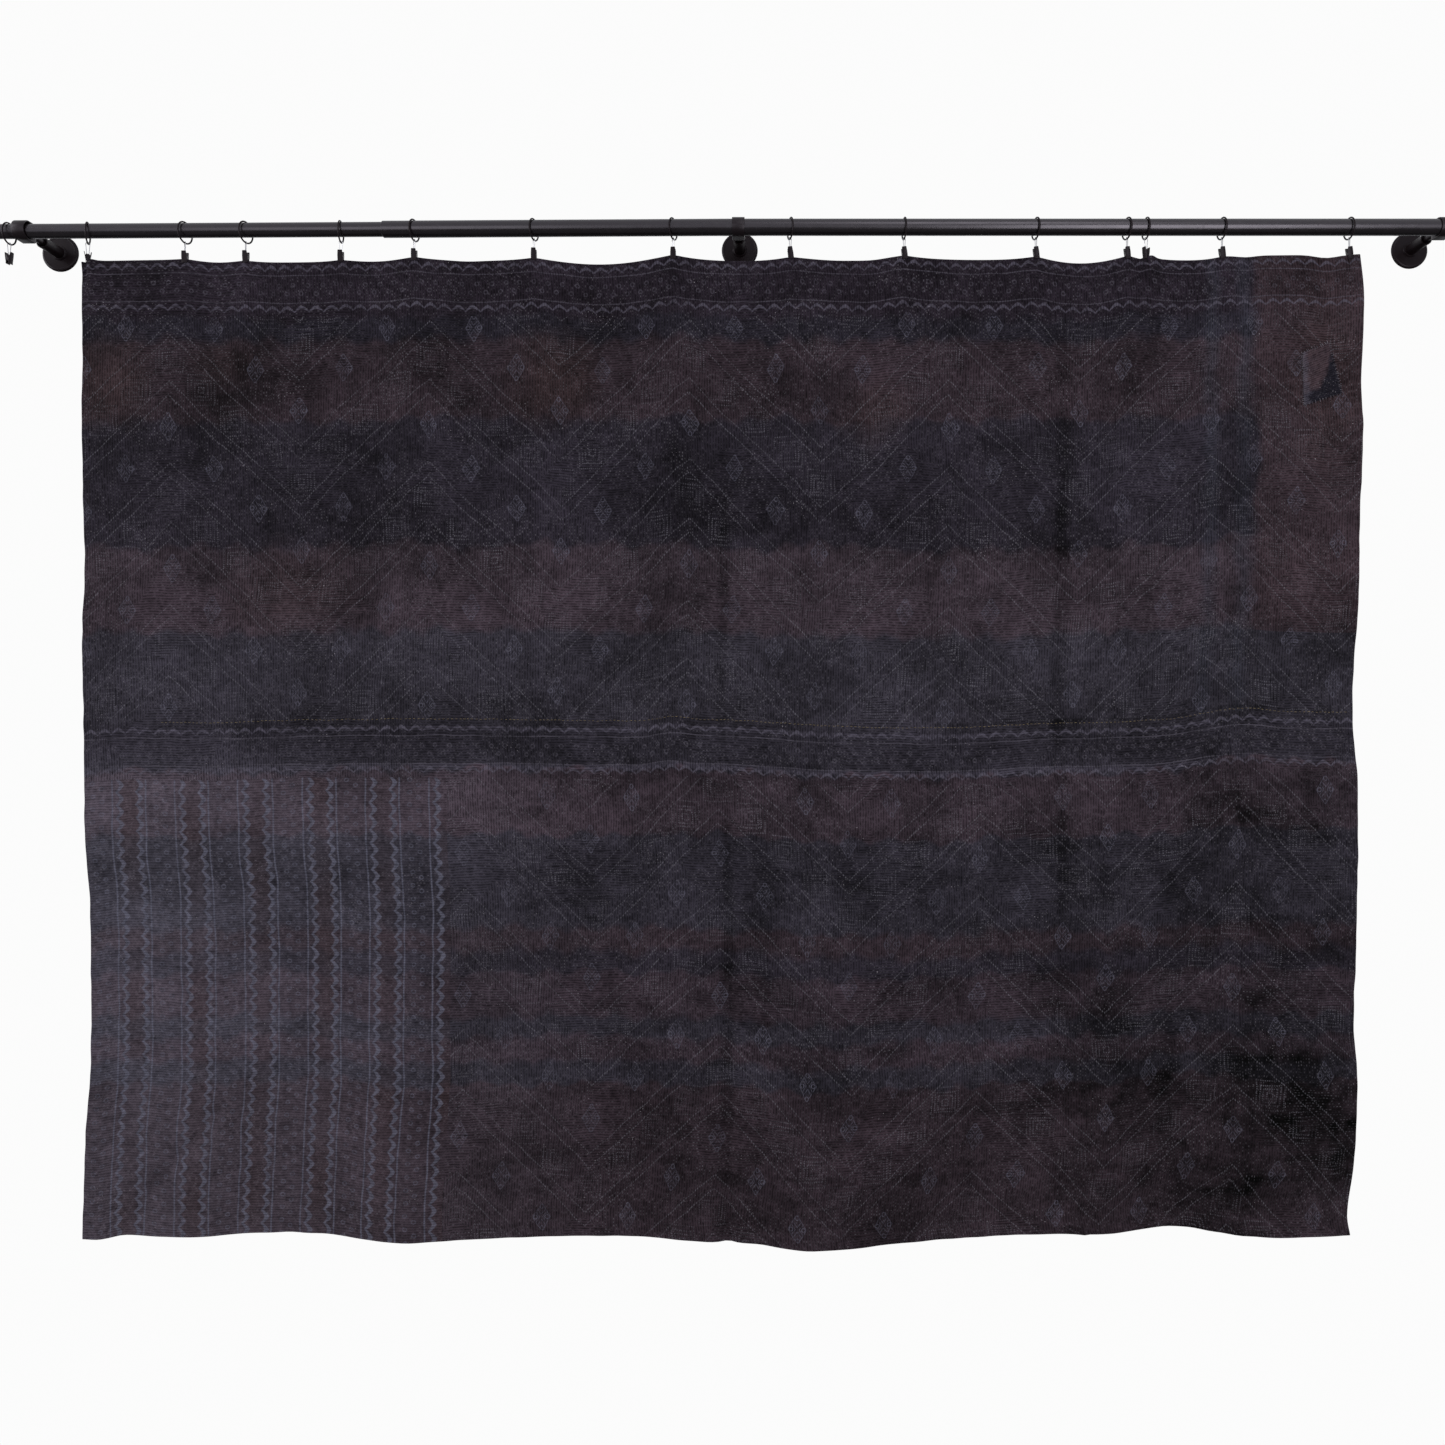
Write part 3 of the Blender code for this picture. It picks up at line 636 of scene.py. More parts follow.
def soft_patch(u, v, cloud, ragged):
    """1 in the middle of a cloud, fading to 0 at its ragged edge."""
    x = (u - cloud.along) / cloud.half_along
    y = (v - cloud.drop) / cloud.half_drop
    return (far(x, y) + ragged).rise(1.15, 0.35)


def build_dye_and_painted_shade():
    tree, _ = new_group("overdye")
    u, v = cloth_place(tree)
    ragged = cloudy(u, v, 48, 4, 17) * 0.65
    scallop = u.to_and_fro(SCALLOP_HALF) / SCALLOP_HALF - 0.5
    waver = scallop * 9 + cloudy(u, v, 70, 3) * 24
    stops = [(0, DYE_BANDS[0][1])]
    for (_, above), (at, under) in zip(DYE_BANDS, DYE_BANDS[1:]):
        stops += [((at - BAND_BLUR) / DROP, above), ((at + BAND_BLUR) / DROP, under)]
    colour = ramp((v + waver) / DROP, stops)
    right = (u + cloudy(u, v, 60, 2, 19) * 30).rise(*RIGHT_RED_FADE) * v.below(RIGHT_RED_FOOT)
    colour = blended(tree, right * 0.75, colour, RIGHT_RED)
    beside = (u - COLUMNS_AT + cloudy(u, v, 40, 3, 3) * 20).size()
    columns = (beside - COLUMNS_APART).stroke(10, 8) * v.below(SEAM_DROP)
    colour = blended(tree, columns * 0.4, colour, BLUISH)
    for stain in STAINS:
        share = soft_patch(u, v, stain, ragged) * stain.strength
        colour = blended(tree, share, colour, RUSTY)
    below = v.rise(*PALE_DROP_FADE)
    pale = (u + cloudy(u, v, 260, 3, 4) * 260).rise(*PALE_ALONG_FADE) * below
    colour = blended(tree, pale * 0.3, colour, PALE_GREY)
    uneven = cloudy(u, v, 170, 5, 13) * 1.2 + cloudy(u, v, 34, 4, 15) * 0.85
    light = uneven.most(DARKEST) + pale * 0.95 + DYE_LEVEL
    # The clouds brighten or darken the dye; some of them are painted crease shade and a painted
    # shadow above the seam.
    for cloud in TONE_AND_PAINTED_SHADE_CLOUDS:
        light = light + soft_patch(u, v, cloud, ragged) * cloud.strength
    streaks = cloudy(u * 0.3, v, 26, 3, 22) * below * 0.6
    return put_out(tree, "Color", Color=scaled(tree, colour, light + streaks))


DYE_AND_PAINTED_SHADE = build_dye_and_painted_shade()
print("dye:", len(DYE_BANDS), "bands down the cloth,", len(DYE_AND_PAINTED_SHADE.nodes), "nodes")

# %% [markdown]
# Up close the cotton is a plain weave, thread over and thread under, at about 15 threads a
# centimetre. Two crossed waves give it, and a little noise breaks it up. It feeds only the
# bump, because it is too fine to be seen from across a room.

# %% The weave
THREAD_WIDTH = 0.66


def build_weave():
    tree, (u, v) = new_group("plain_weave", "U", "V")
    turn = math.pi / THREAD_WIDTH
    crossed = (u * turn).math("SINE") * (v * turn).math("SINE")
    return put_out(tree, Height=crossed + cloudy(u, v, 0.9, 2, 1) * 1.2)


WEAVE = build_weave()
print("weave:", THREAD_WIDTH, "mm a thread")

# %% [markdown]
# The front of the quilt brings it all together: dye with its painted crease shade, then print,
# then the painted shade of the rows' grooves with lighter crests, and the pale dashes of the
# rows. The back has the same dye, painted shade and rows without the print, and the mend is
# another cloth with rows, so all three are finished by one function with their own values.

# %% Cotton materials
PANEL_TONE = shown(92, 92, 107)
INKS = (
    ("Band", shown(60, 45, 46), None, 0.42), ("Wave", shown(80, 76, 88), PANEL_TONE, 0.66),
    ("Fine", shown(80, 76, 86), PANEL_TONE, 0.7), ("Motif", shown(84, 82, 95), None, 0.75),
    ("Dotted", shown(104, 102, 110), None, 0.6),
)
THREAD_TONE = shown(122, 118, 126)
LINT_TONE = shown(150, 144, 150)
RIB_DEPTH = 0.45 * MM
MEAN_RIB = 0.667
# Strength of the painted shade that darkens the grooves and lightens the crests, in the field and
# in the end panel.
FIELD_RIB_SHADE = 0.75
PANEL_RIB_SHADE = 0.42
COTTON_LEVEL = 0.84


def new_material(name, roughness, metallic=0.0, specular=0.5):
    made = bpy.data.materials.new(name)
    made.use_nodes = True
    shader = made.node_tree.nodes["Principled BSDF"]
    shader.inputs["Roughness"].default_value = roughness
    shader.inputs["Metallic"].default_value = metallic
    shader.inputs["Specular IOR Level"].default_value = specular
    return made, made.node_tree, shader


def add_bump(tree, shader, height, depth):
    bump = new_node(tree, "ShaderNodeBump")
    bump.inputs["Distance"].default_value = depth
    feed(tree, bump.inputs["Height"], height)
    feed(tree, shader.inputs["Normal"], bump.outputs[0])


def new_cotton(name):
    made, tree, shader = new_material(name, 0.95, specular=0.08)
    return made, tree, shader, *cloth_place(tree)


def finish_cotton(tree, shader, colour, u, v, level, threads, rib_shade):
    """Adds painted groove shade, dashes, lint and weave to a colour and wires up the shader."""
    rows = use_group(tree, ROWS, u, v, level)
    height, thread = out_of(rows, "Height"), out_of(rows, "Thread")
    uneven = out_of(rows, "Grain") * 0.25 + cloudy(u, v, 9, 2, 24) * 0.7
    # Painted shade: the colour is darker in the grooves between the rows and lighter on the
    # crests, on top of the bump.
    colour = scaled(tree, colour, (height - MEAN_RIB) * rib_shade + uneven + COTTON_LEVEL)
    colour = blended(tree, thread * threads, colour, THREAD_TONE)
    colour = blended(tree, out_of(rows, "Lint") * 0.7, colour, LINT_TONE)
    feed(tree, shader.inputs["Base Color"], colour)
    weave = out_of(use_group(tree, WEAVE, u, v), "Height")
    add_bump(tree, shader, height + weave * 0.05, RIB_DEPTH)
    feed(tree, shader.inputs["Roughness"], thread * -0.2 + 0.95)


def make_front():
    made, tree, shader, u, v = new_cotton("overdyed_cotton")
    printed = use_group(tree, PRINT)
    panel = out_of(printed, "Panel")
    colour = use_group(tree, DYE_AND_PAINTED_SHADE).outputs["Color"]
    for title, tone, panel_tone, strength in INKS:
        if panel_tone:
            tone = blended(tree, panel, tone, panel_tone)
        colour = blended(tree, out_of(printed, title) * strength, colour, tone)
    rib_shade = panel * (PANEL_RIB_SHADE - FIELD_RIB_SHADE) + FIELD_RIB_SHADE
    level = level_patches(u, v).most(panel)
    finish_cotton(tree, shader, colour, u, v, level, threads=0.6, rib_shade=rib_shade)
    return made


def make_back():
    made, tree, shader, u, v = new_cotton("overdyed_cotton_back")
    dye = use_group(tree, DYE_AND_PAINTED_SHADE).outputs["Color"]
    level = level_patches(u, v)
    finish_cotton(tree, shader, dye, u, v, level, threads=0.5, rib_shade=FIELD_RIB_SHADE)
    return made


COTTON_FRONT = make_front()
COTTON_BACK = make_back()
print("cotton:", len(COTTON_FRONT.node_tree.nodes), "nodes on the front")

# %% [markdown]
# The mend is a scrap sewn over a hole near the upper right corner. It is a pale reddish cloth
# with a darker one along its right side and foot, and its left edge is frayed to a whitish
# band. The map on it is turned with the scrap, so its rows slant a little.

# %% Mend material
MEND_PALE = shown(66, 53, 58)
MEND_MID = shown(48, 39, 45)
MEND_DARK = shown(26, 24, 32)
FRAYED = shown(80, 76, 87)
FINER_ROWS = 1.2


def make_mend_cotton():
    made, tree, shader, u, v = new_cotton("mend_cotton")
    torn = cloudy(u, v, 12, 3) * 14
    split = (u + v * 0.48 + torn).rise(52, 58).most((v + torn * 0.5).rise(63, 69))
    pale = blended(tree, cloudy(u, v, 20, 2, 5).rise(-0.3, 0.4), MEND_PALE, MEND_MID)
    frayed = (u + cloudy(u, v, 5, 3, 8) * 16).rise(10, 4)
    colour = blended(tree, frayed * 0.5, blended(tree, split, pale, MEND_DARK), FRAYED)
    u, v = u * FINER_ROWS, v * FINER_ROWS
    finish_cotton(tree, shader, colour, u, v, v.above(-1), threads=0.3, rib_shade=0.6)
    return made


MEND_COTTON = make_mend_cotton()
print("mend material made")

# %% [markdown]
# Sewing thread is two or three fine strands twisted together. A slanting wave along the
# stitch shows the twist. The same maker gives the yellow thread of the seam and the pale
# thread round the mend.

# %% Thread materials
YELLOW = shown(126, 112, 84)
YELLOW_SHADE = shown(84, 72, 58)
PALE = shown(112, 106, 115)
PALE_SHADE = shown(58, 54, 63)


def make_thread(name, tone, shade):
    made, tree, shader = new_material(name, 0.75, specular=0.3)
    place = new_node(tree, "ShaderNodeTexCoord")
    split = new_node(tree, "ShaderNodeSeparateXYZ")
    feed(tree, split.inputs[0], place.outputs["Object"])
    x, y, z = (Number(tree, split.outputs[i]) * 1000 for i in range(3))
    twist = ((x + z * 0.7 + y * 0.6) * 7).math("SINE")
    colour = blended(tree, cloudy(x, z, 16, 2).rise(-0.3, 0.3), shade, tone)
    feed(tree, shader.inputs["Base Color"], colour)
    add_bump(tree, shader, twist, 0.12 * MM)
    return made


YELLOW_THREAD = make_thread("yellow_thread", YELLOW, YELLOW_SHADE)
PALE_THREAD = make_thread("pale_thread", PALE, PALE_SHADE)
print("threads:", YELLOW_THREAD.name, PALE_THREAD.name)

# %% [markdown]
# The rod is steel with a satin black coat, and its plates, rings and clips have a duller one
# that mirrors less. The coat on the brackets' collars lies between the two. Such a coat has a
# fine orange-peel, rubs a little smoother where rings slide, and holds some dust. One group
# gives all three, and each metal uses it at its own strength, from its row of a table. The
# last row is the links' bare steel wire.

# %% Metal materials
BLACK_COAT = shown(11, 6, 7)
BROWN_BLACK = shown(21, 14, 16)
DUST = shown(44, 42, 46)
STEEL = (0.46, 0.46, 0.49)
COAT_TINT = (0.95, 0.88, 1, 1)
RUB_FIELD = (38, 4)
PEEL_FIELD = (1.1, 2)
DUST_FIELD = (7, 6)
DUST_ROUGHNESS = 0.1
PEEL_DEPTH = 0.0015 * MM
Metal = namedtuple("Metal", "name tone roughness rubbed dusty metallic specular")
METALS = table(
    Metal,
    ("satin_black_coat", BLACK_COAT, 0.3, 0.24, 0.1, 0, 0.88),
    ("dull_black_coat", BROWN_BLACK, 0.4, 0.34, 0.15, 0, 0.17),
    ("half_dull_coat", BROWN_BLACK, 0.42, 0.36, 0.15, 0, 0.35),
    ("bright_steel_wire", STEEL, 0.3, 0.22, 0.1, 1, 0.5),
)


def build_wear():
    tree, _ = new_group("coat_wear")
    place = new_node(tree, "ShaderNodeTexCoord")
    fields = []
    for size, detail in (RUB_FIELD, PEEL_FIELD, DUST_FIELD):
        field = new_node(tree, "ShaderNodeTexNoise")
        feed(tree, field.inputs["Vector"], place.outputs["Object"])
        field.inputs["Scale"].default_value = 1000 / size
        field.inputs["Detail"].default_value = detail
        fields.append(out_of(field, "Fac"))
    rub, peel, dust = fields
    return put_out(tree, Rub=rub.rise(0.35, 0.7), Peel=peel, Dust=dust.rise(0.58, 0.8))


COAT_WEAR = build_wear()


def make_metal(metal):
    made, tree, shader = new_material(metal.name, metal.roughness, metal.metallic, metal.specular)
    shader.inputs["Specular Tint"].default_value = COAT_TINT
    wear = use_group(tree, COAT_WEAR)
    dust = out_of(wear, "Dust")
    colour = blended(tree, dust * metal.dusty, metal.tone, DUST)
    feed(tree, shader.inputs["Base Color"], colour)
    rubbing = out_of(wear, "Rub") * (metal.rubbed - metal.roughness)
    feed(tree, shader.inputs["Roughness"], rubbing + metal.roughness + dust * DUST_ROUGHNESS)
    add_bump(tree, shader, out_of(wear, "Peel"), PEEL_DEPTH)
    return made


SATIN_BLACK, DULL_BLACK, HALF_DULL, BRIGHT_WIRE = (make_metal(metal) for metal in METALS)
print("metals:", *(metal.name for metal in METALS))

# %% [markdown]
# The floor is a plain pale sheet well below the quilt, and ends where the straight-on view
# would show it. Seen directly it is pale, but it sends only a little light back up, so that the
# rod's underside stays dark.

# %% The floor
FLOOR_HEIGHT = -2.36
FLOOR_SIZE = (7.0, 4.6)
FLOOR_MIDDLE_Y = -1.9
FLOOR_SEEN = 0.75
FLOOR_CAST = 0.12


def clear_selection():
    bpy.ops.object.select_all(action="DESELECT")


def make_floor():
    clear_selection()
    bpy.ops.mesh.primitive_plane_add(size=1, location=(0, FLOOR_MIDDLE_Y, FLOOR_HEIGHT))
    floor = bpy.context.object
    floor.name = "floor"
    floor.scale = (*FLOOR_SIZE, 1)
    bpy.ops.object.transform_apply()
    made, tree, shader = new_material("pale_floor", 0.85, specular=0.2)
    path = new_node(tree, "ShaderNodeLightPath")
    cast, seen = (FLOOR_CAST,) * 3, (FLOOR_SEEN,) * 3
    tone = blended(tree, path.outputs["Is Camera Ray"], cast, seen)
    feed(tree, shader.inputs["Base Color"], tone)
    floor.data.materials.append(made)


make_floor()
print("floor at", FLOOR_HEIGHT, "m")

# %% [markdown]
# Tubes, caps, plates, arms and pins are all turned shapes. On a lathe they would be cut from a
# bar. Here one circle is extruded and resized again and again, through a profile of radius
# and height. The profile may run down into a bore and stop there. A ring's profile closes on
# itself, and then the circle has no face and the last loop is merged with the first.

# %% Turning and finishing helpers
SIDES = 48
SMOOTH_UNDER = math.radians(32)
TINY = 0.001 * MM


def turned(name, profile, sides=SIDES, ring=False):
    """A turned shape about Z, from (radius, height) rows in millimetres."""
    clear_selection()
    (radius, height), *rest = profile
    bpy.ops.mesh.primitive_circle_add(
        vertices=sides, radius=radius * MM, location=(0, 0, height * MM),
        fill_type="NOTHING" if ring else "NGON",
    )
    obj = bpy.context.object
    obj.name = name
    extrude = bpy.ops.mesh.extrude_edges_move if ring else bpy.ops.mesh.extrude_region_move
    bpy.ops.object.mode_set(mode="EDIT")
    for next_radius, next_height in rest:
        extrude(TRANSFORM_OT_translate={"value": (0, 0, (next_height - height) * MM)})
        grow = next_radius / radius
        centre = (0, 0, next_height * MM)
        bpy.ops.transform.resize(value=(grow, grow, 1), center_override=centre)
        radius, height = next_radius, next_height
    mend_surface()
    return obj


def mend_surface():
    """In edit mode: merges what touches, turns the faces outwards and returns to object mode."""
    bpy.ops.mesh.select_all(action="SELECT")
    bpy.ops.mesh.remove_doubles(threshold=TINY)
    bpy.ops.mesh.normals_make_consistent(inside=False)
    bpy.ops.object.mode_set(mode="OBJECT")


def only(obj):
    """Selects one object and makes it the active one."""
    clear_selection()
    obj.select_set(True)
    bpy.context.view_layer.objects.active = obj


def settled(obj, axis=(0, 0, 1), at=(0, 0, 0)):
    """Stands a shape's Z along an axis, moves it, and leaves its object at the origin."""
    only(obj)
    obj.matrix_world = (
        Matrix.Translation(at)
        @ Vector((0, 0, 1)).rotation_difference(Vector(axis)).to_matrix().to_4x4()
        @ obj.matrix_world
    )
    bpy.ops.object.transform_apply()
    return obj


def rounded(obj, width_mm, segments=2, sharper_than=40):
    only(obj)
    edge = obj.modifiers.new("rounding", "BEVEL")
    edge.width = width_mm * MM
    edge.segments = segments
    edge.limit_method = "ANGLE"
    edge.angle_limit = math.radians(sharper_than)
    bpy.ops.object.modifier_apply(modifier=edge.name)
    return obj


def joined(name, parts):
    clear_selection()
    for part in parts:
        part.select_set(True)
    bpy.context.view_layer.objects.active = parts[0]
    bpy.ops.object.join()
    parts[0].name = name
    return parts[0]


def finished(obj, material, slot, *nodes):
    """Smooths a piece, gives it its material and lets it stand for its plain nodes."""
    only(obj)
    bpy.ops.object.shade_smooth_by_angle(angle=SMOOTH_UNDER)
    obj.data.materials.clear()
    obj.data.materials.append(material)
    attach(obj, ROOT)
    if nodes:
        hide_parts(*nodes)
    return obj


print("a turned piece has", SIDES, "sides")

# %% [markdown]
# The rod is a thin tube inside a thick one. Its own weight and the quilt's pull the thin
# half down by a few millimetres, so the tube's loops are lowered along a line of heights. The
# thick tube's mouth is a real opening with a small chamfer, which catches the light.

# %% The rod
RodPoint = namedtuple("RodPoint", "x height")
ROD_LINE = table(RodPoint, (-1205, -7.1), (-561, -3.4), (0, -0.1), (1190, -0.1))
ROD_Y = -95.0
MOUTH_X = -561.0
THICK_RADIUS = 12.7
THIN_RADIUS = 11.1


def rod_height(x):
    """Height of the rod's middle at a place, in millimetres."""
    for first, second in zip(ROD_LINE, ROD_LINE[1:]):
        if x <= second.x or second is ROD_LINE[-1]:
            share = (x - first.x) / (second.x - first.x)
            return first.height + share * (second.height - first.height)


def along_rod(obj):
    """Lays a shape that was turned about Z along the rod, sagging with it."""
    settled(obj, (1, 0, 0), (0, ROD_Y * MM, 0))
    for vertex in obj.data.vertices:
        vertex.co.z += rod_height(vertex.co.x / MM) * MM
    return obj


thick_profile = (
    (THIN_RADIUS + 0.4, MOUTH_X + 80.5), (THIN_RADIUS + 0.4, MOUTH_X + 0.4),
    (THIN_RADIUS + 0.7, MOUTH_X), (THICK_RADIUS - 0.5, MOUTH_X), (THICK_RADIUS, MOUTH_X + 0.5),
    (THICK_RADIUS, 0), (THICK_RADIUS, ROD_LINE[-1].x),
)
thin_profile = ((THIN_RADIUS, ROD_LINE[0].x), (THIN_RADIUS, MOUTH_X), (THIN_RADIUS, MOUTH_X + 80))
thick_tube = along_rod(turned("thick_tube", thick_profile))
thin_tube = along_rod(turned("thin_tube", thin_profile))
finished(thick_tube, SATIN_BLACK, "black_metal", "rod_outer_tube")
finished(thin_tube, SATIN_BLACK, "black_metal", "rod_inner_tube")
print("rod from", ROD_LINE[0].x, "to", ROD_LINE[-1].x, "mm")

# %% [markdown]
# Each end of the rod has a pressed cap, a little wider than the tube, with a groove near its
# mouth and a softly domed end. The dome's points are on an arc, so a formula places them.

# %% End caps
CAP_RADIUS = 14.2
CAP_LENGTH = 16.0
CAP_CORNER = 3.0


def cap_profile():
    rows = [(CAP_RADIUS - 0.6, 0.3), (CAP_RADIUS, 0.9), (CAP_RADIUS, 3.2), (CAP_RADIUS - 0.5, 3.6),
            (CAP_RADIUS - 0.5, 4.2), (CAP_RADIUS, 4.6)]
    for step in range(6):
        turn = math.radians(18 * step)
        out = CAP_RADIUS - CAP_CORNER * (1 - math.cos(turn))
        rows.append((out, CAP_LENGTH - CAP_CORNER * (1 - math.sin(turn))))
    return rows + [(6, CAP_LENGTH + 0.2), (0.8, CAP_LENGTH + 0.3)]


for side, end, way in (("left", ROD_LINE[0], -1), ("right", ROD_LINE[-1], 1)):
    cap = turned(f"cap_{side}", cap_profile())
    settled(cap, (way, 0, 0), (end.x * MM, ROD_Y * MM, end.height * MM))
    finished(cap, SATIN_BLACK, "black_metal", f"end_cap_{side}")
print("two caps,", CAP_LENGTH, "mm long")

# %% [markdown]
# A bracket has two pieces. The wall plate is a disc with a rolled rim and a sleeve, whose bore
# is wider at its mouth. The holder is an arm that slides in the sleeve and ends in a collar
# round the rod. The collar is a block, round in front and square behind: it starts as a turned
# ring, and the outer points of its rear half are pushed out to a square's sides.

# %% Brackets
Bracket = namedtuple("Bracket", "name x height")
BRACKETS = table(Bracket, ("left", -1130, -5.1), ("middle", 0, 0), ("right", 1114, 0))
PLATE_PROFILE = (
    (29.5, 0), (30, 0.5), (30, 2.0), (29.2, 3.3), (26.6, 4.6), (25.9, 4.6), (25.3, 4.2),
    (16, 4.4), (12.3, 4.6), (11.9, 5.6), (11.2, 6.2), (10.3, 6.1), (9.6, 6.6), (9.2, 8.2),
    (9.2, 49.3), (8.6, 50), (7.6, 50), (7.3, 49.7), (7.3, 45), (5.6, 45), (5.6, 20),
)
ARM_PROFILE = ((4.7, 24), (5.2, 24.5), (5.2, 79.5))
COLLAR_FRONT = 14.9
COLLAR_BACK = 17.0
COLLAR_BORE = 13.1
COLLAR_HALF = 9.9


def make_plate(bracket):
    plate = turned(f"plate_{bracket.name}", PLATE_PROFILE)
    settled(plate, (0, -1, 0), (bracket.x * MM, 0, bracket.height * MM))
    finished(plate, DULL_BLACK, "black_metal", f"wall_plate_{bracket.name}")


def make_collar(at):
    """A collar at a place. Behind it, towards the wall, is +Y."""
    outer, inner, half = COLLAR_FRONT, COLLAR_BORE, COLLAR_HALF
    profile = ((inner, -half), (outer, -half), (outer, half), (inner, half), (inner, -half))
    collar = settled(turned("collar", profile, ring=True), (1, 0, 0))
    wall_middle = (inner + outer) / 2 * MM
    for vertex in collar.data.vertices:
        side, behind = vertex.co.zy
        if behind > 0 and vertex.co.zy.length > wall_middle:
            reach = min(COLLAR_BACK * MM / behind, COLLAR_FRONT * MM / max(abs(side), TINY))
            vertex.co.zy = (side * reach, behind * reach)
    collar.location = at
    bpy.ops.object.transform_apply(location=True)
    return rounded(collar, 0.7)


def make_holder(bracket):
    place = Vector((bracket.x, 0, bracket.height)) * MM
    arm = settled(turned("arm", ARM_PROFILE, 32), (0, -1, 0), place)
    collar = make_collar(place + Vector((0, ROD_Y * MM, 0)))
    holder = joined(f"holder_{bracket.name}", [collar, arm])
    finished(holder, HALF_DULL, "black_metal", f"rod_holder_{bracket.name}")


for bracket in BRACKETS:
    make_plate(bracket)
    make_holder(bracket)
print(len(BRACKETS), "brackets")

# %% [markdown]
# A ring is a length of thick wire closed on itself: a small circle spun about the rod's line.
# The spin's last loop falls on its first, so doubles are merged before the normals are
# turned outwards. The coils of a clip's spring are made by the same function later.

# %% One ring
RING_RADIUS = 16.25
RING_WIRE = 1.25
RING_STEPS = 56
RING_SIDES = 12


def spun_wire(radius, wire, sides, steps, x=0.0):
    """A ring of wire round the X axis, in millimetres."""
    clear_selection()
    bpy.ops.mesh.primitive_circle_add(
        vertices=sides, radius=wire * MM, location=(x * MM, radius * MM, 0)
    )
    ring = bpy.context.object
    bpy.ops.object.transform_apply(location=True)
    bpy.ops.object.mode_set(mode="EDIT")
    bpy.ops.mesh.spin(steps=steps, angle=math.tau, center=(x * MM, 0, 0), axis=(1, 0, 0))
    mend_surface()
    return ring


ring_model = spun_wire(RING_RADIUS, RING_WIRE, RING_SIDES, RING_STEPS)
print("ring:", len(ring_model.data.polygons), "faces")

# %% [markdown]
# A wire link ties each ring to its clip. It is bent like a drop, wide over the ring and
# narrow at the clip's pin. It starts as a circle whose lower half is moved down and drawn in,
# and turning that line into a bevelled curve and back into a mesh gives the wire.

# %% One link
LINK_WIRE = 0.5
LINK_TOP = 3.4
LINK_FOOT = 1.8
RING_TO_PIN = 19.75
LINK_BELOW_PIN = 0.8
GAP = 0.3
LINK_ABOVE = RING_WIRE + GAP + 2 * LINK_WIRE
LINK_LENGTH = LINK_ABOVE + RING_TO_PIN + LINK_BELOW_PIN


def select_lower_half(obj):
    """In edit mode: selects the points below the origin, and what lies between them."""
    bpy.ops.mesh.select_mode(type="VERT")
    shape = bmesh.from_edit_mesh(obj.data)
    for vertex in shape.verts:
        vertex.select = vertex.co.z < -10 * TINY
    shape.select_flush_mode()
    bmesh.update_edit_mesh(obj.data)


def make_link():
    clear_selection()
    wide = LINK_TOP - LINK_WIRE
    narrow = LINK_FOOT - LINK_WIRE
    bpy.ops.mesh.primitive_circle_add(
        vertices=24, radius=wide * MM, rotation=(math.radians(90), 0, 0)
    )
    link = bpy.context.object
    bpy.ops.object.transform_apply(rotation=True)
    bpy.ops.object.mode_set(mode="EDIT")
    select_lower_half(link)
    drop = (LINK_LENGTH - LINK_TOP - LINK_FOOT) * MM
    bpy.ops.transform.translate(value=(0, 0, -drop))
    share = narrow / wide
    bpy.ops.transform.resize(value=(share, 1, share), center_override=(0, 0, -drop))
    bpy.ops.mesh.select_all(action="SELECT")
    bpy.ops.transform.translate(value=(0, 0, -LINK_TOP * MM))
    bpy.ops.object.mode_set(mode="OBJECT")
    bpy.ops.object.convert(target="CURVE")
    link.data.bevel_depth = LINK_WIRE * MM
    link.data.bevel_resolution = 2
    bpy.ops.object.convert(target="MESH")
    return link


link_model = make_link()
print("link:", LINK_LENGTH, "mm long,", len(link_model.data.polygons), "faces")

# %% [markdown]
# A clip is pressed from two strips of steel that pivot on a pin, with a coiled spring between
# them. Each strip is extruded from its jaw up to its handle, along a short path that is
# a little narrower at the handle. Side plates close the gap between the strips and hold the pin,
# whose ends are spread into small heads.

# %% One clip
JawPoint = namedtuple("JawPoint", "out up width")
JAW = table(
    JawPoint, (2.45, -12, 8.2), (2.3, -11.2, 8.6), (2.35, -8, 8.6), (2.9, -4.6, 8.6),
    (3.5, -1.6, 8.4), (4, 1.6, 7.8), (4.6, 5.2, 7.2), (4.9, 6.2, 6.2),
)
JAW_THICKNESS = 0.9
CHEEK_PROFILE = ((2.2, -0.35), (2.5, -0.1), (2.5, 0.1), (2.2, 0.35))
CHEEK_OUT = 3.5
CHEEK_AT = 3.7
CHEEK_TAIL = 5.2
CHEEK_TAPER = 0.62
PIN_PROFILE = ((0.8, -4.5), (1.2, -4.3), (1.2, -3.95), (0.7, -3.9), (0.7, 3.9), (1.2, 3.95),
               (1.2, 4.3), (0.8, 4.5))
COIL_RADIUS = 1.3
COIL_WIRE = 0.28
COIL_PLACES = (-3.0, -2.4, 2.4, 3.0)


def make_jaw(way):
    """One strip, extruded upwards section by section. The way is 1 or -1 from the cloth."""
    clear_selection()
    first, *rest = JAW
    bpy.ops.mesh.primitive_plane_add(size=MM, location=(0, way * first.out * MM, first.up * MM))
    jaw = bpy.context.object
    jaw.scale = (first.width, JAW_THICKNESS, 1)
    bpy.ops.object.transform_apply()
    bpy.ops.object.mode_set(mode="EDIT")
    here = first
    for point in rest:
        move = (0, way * (point.out - here.out) * MM, (point.up - here.up) * MM)
        bpy.ops.mesh.extrude_region_move(TRANSFORM_OT_translate={"value": move})
        centre = (0, way * point.out * MM, point.up * MM)
        bpy.ops.transform.resize(value=(point.width / here.width, 1, 1), center_override=centre)
        here = point
    mend_surface()
    return rounded(jaw, 0.22)


